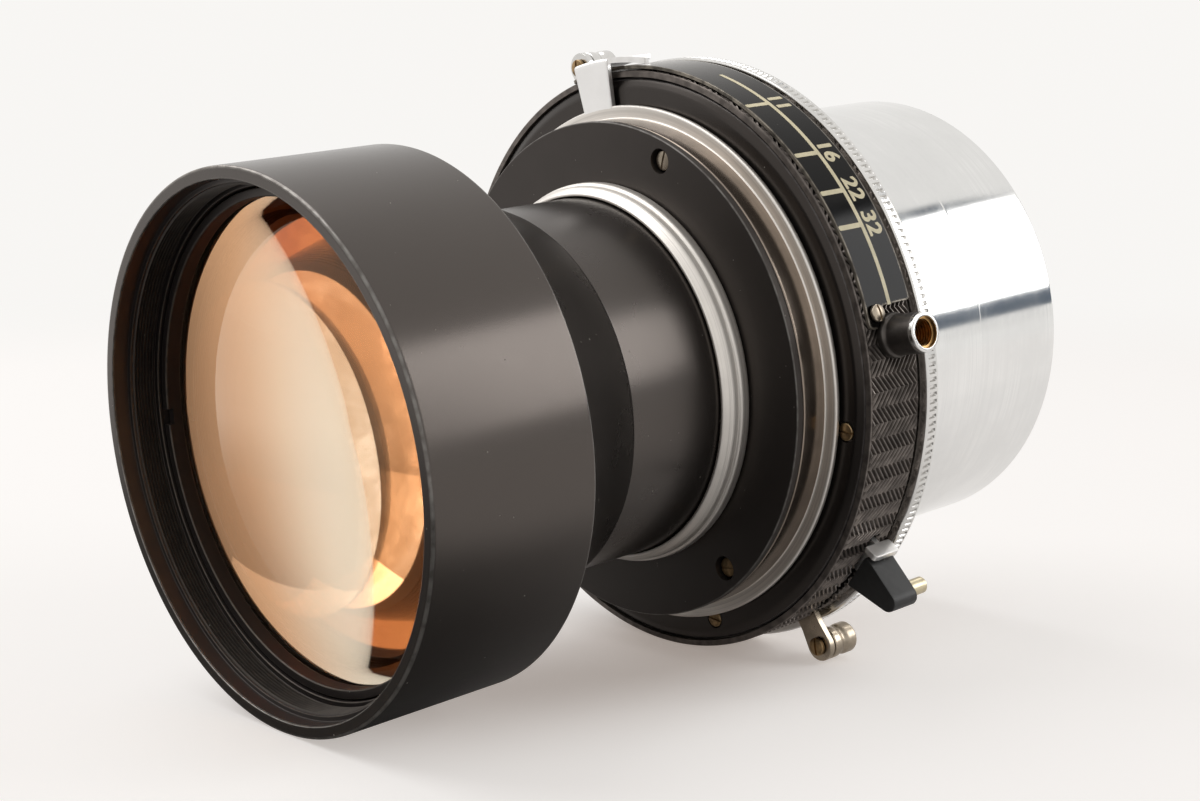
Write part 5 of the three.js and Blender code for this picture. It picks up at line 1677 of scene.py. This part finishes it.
@dataclass
class SettingLever:
    """The lever that cocks the shutter, with its black grip and brass pin."""

    ring_inner: float = 36.0
    ring_outer: float = 42.5
    front: float = 101.64
    sheet: float = 1.3
    arm_angles: tuple[float, float] = (-39.5, -31.7)
    arm_end: float = 59.3
    arm_steps: int = 12
    overlap: float = 0.6  # of its three parts
    tongue_reach: float = 2.7
    tongue_height: float = 2.6
    tongue_turn: float = 1.2  # its thickness, in degrees
    tongue_steps: int = 4
    grip_front: float = 98.99
    grip_rear: float = 105.59
    grip_corners: tuple[tuple[float, float, float], ...] = (
        (59.6, -41.2, 0.5), (69.4, -38.3, 0.8), (70.2, -37.3, 0.5), (70.2, -36.3, 0.5), (69.4, -35.4, 0.8),
        (60.0, -33.4, 0.5), (59.6, -34.0, 0.3),
    )  # radius, angle and rounding of each corner
    pin_radius: float = 1.6
    pin_front: float = 105.89
    pin_rear: float = 110.49
    pin_circle: float = 67.1
    pin_angle: float = -37.0

    def build(self) -> None:
        """Builds the lever, its grip and its pin."""
        ring = turn(
            "setting_lever_ring",
            [
                (self.ring_inner, self.front), (self.ring_outer, self.front, 0.15),
                (self.ring_outer, self.front + self.sheet, 0.15), (self.ring_inner, self.front + self.sheet),
            ],
            INNER_STEPS,
        )
        arm = turn(
            "setting_lever_arm",
            [
                (self.ring_outer - self.overlap, self.front + INSET), (self.arm_end, self.front + INSET, 0.1),
                (self.arm_end, self.front + self.sheet - INSET, 0.1),
                (self.ring_outer - self.overlap, self.front + self.sheet - INSET),
            ],
            self.arm_steps,
            self.arm_angles,
        )
        tongue = turn(
            "setting_lever_tongue",
            [
                (self.arm_end - self.overlap, self.front - self.tongue_reach, 0.5),
                (self.arm_end + self.tongue_height, self.front - self.tongue_reach, 0.8),
                (self.arm_end + self.tongue_height, self.front + self.sheet + self.tongue_reach, 0.8),
                (self.arm_end - self.overlap, self.front + self.sheet + self.tongue_reach, 0.5),
            ],
            self.tongue_steps,
            (self.arm_angles[1] - self.tongue_turn, self.arm_angles[1]),
        )
        soften(tongue, 0.2, turn_over=60)
        dress(joined(ring, arm, tongue), SATIN_CHROME, Body.SETTING, ("setting_lever",))
        self.make_grip()
        self.make_pin()

    def make_grip(self) -> Mesh:
        """The tapered black grip."""
        outline = [(*polar(radius, angle), ease) for radius, angle, ease in self.grip_corners]
        grip = cut_sheet("grip_block", outline, self.grip_front, self.grip_rear - self.grip_front, 0.55)
        return dress(grip, BLACK_PLASTIC, Body.SETTING, ("setting_grip",))

    def make_pin(self) -> Mesh:
        """The brass pin behind the grip."""
        x, z = polar(self.pin_circle, self.pin_angle)
        radius, front, rear = self.pin_radius, self.pin_front, self.pin_rear
        point = [(radius, rear - 0.49), (radius - 0.4, rear, 0.3), (0, rear)]
        pin = turn("grip_brass_pin", [(0, front), (radius, front, 0.2), *point], SMALL_STEPS)
        return dress(moved(pin, Matrix.Translation((x, 0, z))), PALE_BRASS, Body.SETTING, ("grip_pin",))


@dataclass
class KnobLever:
    """A lever that pivots inside the housing and ends in a knob with a screw."""

    name: str
    angle: float
    body: Body
    finish: Finish
    pivot_radius: float = 46.0
    end_radius: float = 64.0
    eye_radius: float = 3.8
    tip_radius: float = 3.1
    half_width: float = 2.6
    hole_radius: float = 2.0
    drill: float = 6.0
    front: float = 104.2
    sheet: float = 1.4
    knob_length: float = 6.2
    waist: float = 0.5
    waist_place: float = 0.45  # share of the knob's length
    waist_reach: float = 0.16
    slot_turn: float = -35.0  # of the screw, from the lever's angle
    screw: ScrewHead = field(default_factory=lambda: ScrewHead(1.8, 0.8, 0.5, 0.4, 0.2))

    def build(self) -> None:
        """Builds the lever's sheet, its knob and its screw."""
        self.make_arm()
        self.make_knob()
        x, z = polar(self.end_radius, self.angle)
        place = facing_front(x, self.front - SEAT_GAP, z)
        name, node = f"{self.name}_screw_head", f"{self.name}_screw"
        self.screw.fit(name, self.angle + self.slot_turn, place, BROWN_BRASS, node, self.body)

    def round_end(self, centre: float, radius: float, angles: range) -> Outline:
        """Points of a round end about a point on the lever's middle line."""
        return [(centre + polar(radius, angle)[0], polar(radius, angle)[1]) for angle in angles]

    def make_arm(self) -> Mesh:
        """The flat arm with a round eye and a round tip."""
        outline = [
            *self.round_end(self.end_radius, self.tip_radius, range(-90, 91, 15)),
            (self.end_radius - self.tip_radius - 1.0, self.half_width),
            (self.pivot_radius + self.eye_radius, self.half_width),
            *self.round_end(self.pivot_radius, self.eye_radius, range(60, 301, 20)),
            (self.pivot_radius + self.eye_radius, -self.half_width),
            (self.end_radius - self.tip_radius - 1.0, -self.half_width),
        ]
        arm = cut_sheet(f"{self.name}_lever_arm", outline, self.front, self.sheet, 0.2)
        drilled(arm, self.hole_radius, self.drill, Matrix.Translation((self.pivot_radius, self.front, 0)))
        moved(arm, around_axis(self.angle))
        return dress(arm, self.finish, self.body, (f"{self.name}_lever",))

    def make_knob(self) -> Mesh:
        """The turned knob with its waist."""
        front = self.front + self.sheet + SEAT_GAP
        rear = front + self.knob_length
        middle = front + self.knob_length * self.waist_place
        reach = self.knob_length * self.waist_reach
        knob = turn(
            f"{self.name}_turned_knob",
            [
                (0, front), (self.tip_radius, front, 0.3), (self.tip_radius, middle - reach, 0.4),
                (self.tip_radius - self.waist, middle, 0.5), (self.tip_radius, middle + reach, 0.4),
                (self.tip_radius, rear, 0.5), (0, rear),
            ],
            SMALL_STEPS,
        )
        place = around_axis(self.angle) @ Matrix.Translation((self.end_radius, 0, 0))
        return dress(moved(knob, place), self.finish, self.body, (f"{self.name}_knob",))


@dataclass
class RearBarrel:
    """The polished barrel in two sections, with the glasses in it."""

    first: Ring = Ring(
        "barrel_first_section", "rear_barrel", POLISHED_ALUMINIUM, 43.0, 46.0, 107.2, 140.3,
        (0, 0.2, 0.35, 0.1),
    )
    end: float = 164.3
    end_radius: float = 45.4
    spigot_radius: float = 42.7  # of the second section, where it goes into the first
    spigot_bore: float = 40.5
    spigot_start: float = 126.3
    mouth_bore: float = 42.2
    mouth_depth: float = 14.8
    middle_glass: Glass = Glass(
        "middle_glass", "middle_element", CLEAR_GLASS, 42.7, 40.3, 118.0, 126.0, 130, 260, INNER_STEPS
    )
    rear_glass: Glass = Glass("rear_glass", "rear_element", CLEAR_GLASS, 41.9, 39.3, 149.8, 156.8, 150, 180)
    rear_ring: Ring = Ring(
        "rear_glass_ring", "rear_retaining_ring", MOUTH_BLACK, 39.5, 41.9, 157.1, 159.9, (0.3, 0, 0.2, 0.35)
    )

    def build(self) -> None:
        """Builds the barrel and its glasses."""
        self.first.build()
        start = self.first.rear + SEAT_GAP
        second = turn(
            "barrel_second_section",
            [
                (self.spigot_bore, self.spigot_start, 0.3), (self.spigot_radius, self.spigot_start, 0.3),
                (self.spigot_radius, start), (self.end_radius, start, 0.35),
                (self.end_radius, self.end, 0.5), (self.mouth_bore, self.end, 0.4),
                (self.mouth_bore, self.end - self.mouth_depth),
                (self.spigot_bore, self.end - self.mouth_depth, 0.2),
            ],
        )
        dress(second, POLISHED_ALUMINIUM, nodes=("rear_barrel_end",))
        self.middle_glass.build()
        self.rear_glass.build()
        self.rear_ring.build()


# The studio


@dataclass
class Studio:
    """Pale floor, a backdrop light, soft lights, dull cards and the camera."""

    floor_colour: Colour = (0.93, 0.925, 0.92)
    # Painted shade: the floor that lights the lens and shows in its metal is darker in front of it
    painted_front_shade: Colour = (0.50, 0.49, 0.48)
    shown_colour: Colour = (0.945, 0.945, 0.945)
    paper_colour: Colour = (0.59, 0.552, 0.525)
    shadow_lift: float = 0.5  # how far the shadow fades out of the picture beside the lens
    backdrop_colour: Colour = (0.972, 0.965, 0.955)
    light_colour: Colour = (0.97, 0.97, 0.97)
    light_strength: float = 0.25
    mirrored_backdrop: float = 0.95
    # Between which distances in metres the floor changes
    dark_front: tuple[float, float] = (-0.10, 0.12)  # along Y, from the painted shade in front to pale
    paper_end: tuple[float, float] = (0.22, 0.75)  # round the middle, from paper to backdrop
    shadow_side: tuple[float, float] = (0.010, 0.055)  # beside the lens, out of the shadow
    mirror_end: tuple[float, float] = (0.15, 0.36)  # round the middle, from dark to seen
    right_side: tuple[float, float] = (0.05, 0.12)  # along X, from dark to seen
    right_front: tuple[float, float] = (-0.06, 0.0)  # along Y there
    glow_angles: tuple[float, float] = (28.0, 52.0)  # round the hood's foot, in degrees
    glow_low: float = 0.56
    card_colour: Colour = (0.45, 0.50, 0.56)
    floor_size: float = 30.0
    floor_drop: float = 0.0002
    shadow_shape: tuple[float, float, float] = (1.0, 0.45, 0.0)
    hood_foot: float = -0.08  # where the hood stands, along Y
    middle: tuple[float, float, float] = (0.0, 0.0, 0.05)  # what the lamps and cards face
    camera_place: tuple[float, float, float] = (0.3061, -0.27786, 0.1137)
    camera_right: tuple[float, float, float] = (0.66498, 0.74686, 0.0)
    camera_up: tuple[float, float, float] = (-0.11094, 0.09878, 0.98891)
    camera_lens: float = 64.29

    def build(self) -> None:
        """Sets the floor, the backdrop light, the lamps and the camera."""
        self.set_floor()
        self.set_world()
        self.set_lamps()
        self.set_camera()

    def set_floor(self) -> None:
        """A wide pale floor, which each kind of ray meets in its own brightness."""
        floor = self.add_plane("studio_floor", self.floor_size, (0, 0, -self.floor_drop))
        board = self.new_board(floor, "pale studio floor")
        where = board.add("ShaderNodeTexCoord").outputs["Object"]
        side, deep, _ = board.add("ShaderNodeSeparateXYZ", {0: where}).outputs
        reach = board.add("ShaderNodeVectorMath", {0: where}, operation="LENGTH").outputs["Value"]
        path = board.add("ShaderNodeLightPath")
        # What lights the lens: painted shade on the floor in front of it, pale behind it
        behind = board.fade(deep, *self.dark_front)
        tone = board.blend(behind, linear(self.painted_front_shade), linear(self.floor_colour))
        matte = board.add("ShaderNodeBsdfDiffuse", {"Color": tone})
        # What the camera sees: paper with a soft shadow, which runs out into the backdrop
        dim = board.add("ShaderNodeBsdfDiffuse", {"Color": linear(self.shown_colour)})
        paper = board.add("ShaderNodeEmission", {"Color": linear(self.paper_colour), "Strength": 1.0})
        shown = board.add("ShaderNodeAddShader", {0: dim.outputs[0], 1: paper.outputs[0]})
        far = board.add("ShaderNodeEmission", {"Color": linear(self.backdrop_colour), "Strength": 1.0})
        narrow = board.add("ShaderNodeVectorMath", {0: where, 1: self.shadow_shape}, operation="MULTIPLY")
        beside = board.add("ShaderNodeVectorMath", {0: narrow.outputs[0]}, operation="LENGTH")
        lift = board.fade(beside.outputs["Value"], *self.shadow_side, 0.0, self.shadow_lift)
        share = board.sum("MAXIMUM", board.fade(reach, *self.paper_end), lift)
        spread = board.add("ShaderNodeMixShader", {0: share, 1: shown.outputs[0], 2: far.outputs[0]})
        # What metal mirrors: the seen floor, except close in front of the lens, where it mirrors the painted
        # shade
        right = board.fade(side, *self.right_side, 0.0, 0.9)
        near = board.sum("MULTIPLY", right, board.fade(deep, *self.right_front))
        far_off = board.fade(reach, *self.mirror_end, 0.0, 0.9)
        bright = board.sum("MAXIMUM", board.fade(behind, 0.0, 1.0, 0.0, 0.8), far_off)
        mirrored = board.sum("MULTIPLY", path.outputs["Is Glossy Ray"], board.sum("MAXIMUM", bright, near))
        seen = board.sum("MAXIMUM", path.outputs["Is Camera Ray"], mirrored)
        both = board.add("ShaderNodeMixShader", {0: seen, 1: matte.outputs[0], 2: spread.outputs[0]})
        # What glass passes on: a glow that weakens with the angle round the hood's foot
        ahead = board.sum("SUBTRACT", self.hood_foot, deep)
        turned = board.sum("DEGREES", board.sum("ARCTAN2", ahead, board.sum("MULTIPLY", side, -1.0)))
        glow = board.fade(turned, *self.glow_angles, 1.0, self.glow_low)
        lit = board.add("ShaderNodeEmission", {"Color": linear(self.backdrop_colour), "Strength": glow})
        through = path.outputs["Is Transmission Ray"]
        whole = board.add("ShaderNodeMixShader", {0: through, 1: both.outputs[0], 2: lit.outputs[0]})
        board.add("ShaderNodeOutputMaterial", {"Surface": whole.outputs[0]})

    def set_world(self) -> None:
        """A white backdrop for the camera, a softer light for the rest."""
        world = bpy.data.worlds.new("studio world")
        bpy.context.scene.world = world
        board = empty_board(world)
        path = board.add("ShaderNodeLightPath")
        seen = board.sum("MAXIMUM", path.outputs["Is Camera Ray"], path.outputs["Is Transmission Ray"])
        mirrored = board.sum("MULTIPLY", path.outputs["Is Glossy Ray"], self.mirrored_backdrop)
        shown = board.sum("MAXIMUM", seen, mirrored)
        backdrop = board.add("ShaderNodeBackground", {"Color": linear(self.backdrop_colour), "Strength": 1.0})
        usual = {"Color": linear(self.light_colour), "Strength": self.light_strength}
        light = board.add("ShaderNodeBackground", usual)
        both = board.add("ShaderNodeMixShader", {0: shown, 1: light.outputs[0], 2: backdrop.outputs[0]})
        board.add("ShaderNodeOutputWorld", {"Surface": both.outputs[0]})

    def add_plane(self, name: str, size: float, place: tuple[float, float, float]) -> Mesh:
        """Adds a plane that belongs to the studio and not to the lens."""
        deselect_all()
        bpy.ops.mesh.primitive_plane_add(size=size, location=place)
        plane = bpy.context.object
        plane.name = name
        return plane

    def new_board(self, plane: Mesh, name: str) -> NodeBoard:
        """Gives a plane a new material and returns its empty board."""
        material = bpy.data.materials.new(name)
        plane.data.materials.append(material)
        return empty_board(material)

    def facing(self, place: tuple[float, float, float], front: str) -> Euler:
        """The turn that points a lamp's or a card's front axis at the lens."""
        return (Vector(self.middle) - Vector(place)).to_track_quat(front, "Y").to_euler()

    def add_softbox(
        self, name: str, place: tuple[float, float, float], size: tuple[float, float], power: float
    ) -> None:
        """Hangs one soft lamp that looks at the lens.

        Args:
            name: What the lamp is called.
            place: Where it hangs, in metres.
            size: Its width and height in metres.
            power: Its power in watts.
        """
        lamp = bpy.data.lights.new(name, "AREA")
        lamp.shape, lamp.size, lamp.size_y, lamp.energy = "RECTANGLE", *size, power
        holder = bpy.data.objects.new(name, lamp)
        bpy.context.scene.collection.objects.link(holder)
        holder.location, holder.rotation_euler = place, self.facing(place, "-Z")

    def add_card(self, name: str, place: tuple[float, float, float], size: tuple[float, float]) -> None:
        """Stands a dull card in the studio that only reflections show.

        Args:
            name: What the card is called.
            place: Where its middle is, in metres; it faces the lens.
            size: Its width and height in metres.
        """
        card = self.add_plane(name, 1, place)
        card.scale, card.rotation_euler, card.visible_camera = (*size, 1.0), self.facing(place, "Z"), False
        board = self.new_board(card, name)
        dull = board.add("ShaderNodeBsdfDiffuse", {"Color": linear(self.card_colour)})
        board.add("ShaderNodeOutputMaterial", {"Surface": dull.outputs[0]})

    def set_lamps(self) -> None:
        """The large softbox at the right with a dark card at its top and foot, and one above."""
        self.add_softbox("side softbox", (0.836, 0.929, 0.571), (0.76, 0.76), 5.4)
        self.add_softbox("top softbox", (-0.60, -0.28, 1.12), (1.3, 1.3), 11.0)
        self.add_card("softbox top card", (0.62, 0.88, 0.93), (0.5, 0.065))
        self.add_card("softbox foot card", (0.78, 1.02, 0.165), (0.60, 0.13))

    def set_camera(self) -> None:
        """The camera at the photograph's view."""
        camera = bpy.data.cameras.new("view")
        camera.lens, camera.sensor_width, camera.clip_start = self.camera_lens, 36.0, 0.01
        holder = bpy.data.objects.new("view", camera)
        bpy.context.scene.collection.objects.link(holder)
        right, up = Vector(self.camera_right).normalized(), Vector(self.camera_up).normalized()
        back = right.cross(up)
        turn_to = Matrix((right, up, back)).transposed().to_4x4()
        holder.matrix_world = Matrix.Translation(self.camera_place) @ turn_to
        bpy.context.scene.camera = holder
        bpy.context.scene.view_settings.view_transform = "Standard"
        bpy.context.scene.cycles.glossy_bounces = 8  # light goes to and fro inside the front glass


def main() -> None:
    logging.basicConfig(level=logging.INFO, format="%(name)s %(message)s")
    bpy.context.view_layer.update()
    for unit in (
        FrontCell(),
        IrisUnit(),
        ShutterHousing(),
        SettingLever(),
        KnobLever("release", -60.0, Body.RELEASE, WARM_NICKEL),
        KnobLever("focus", 116.0, Body.FOCUS, BRIGHT_CHROME),
        RearBarrel(),
        Studio(),
    ):
        unit.build()
        LOG.info("%s is built", type(unit).__name__)


if __name__ == "__main__":
    main()
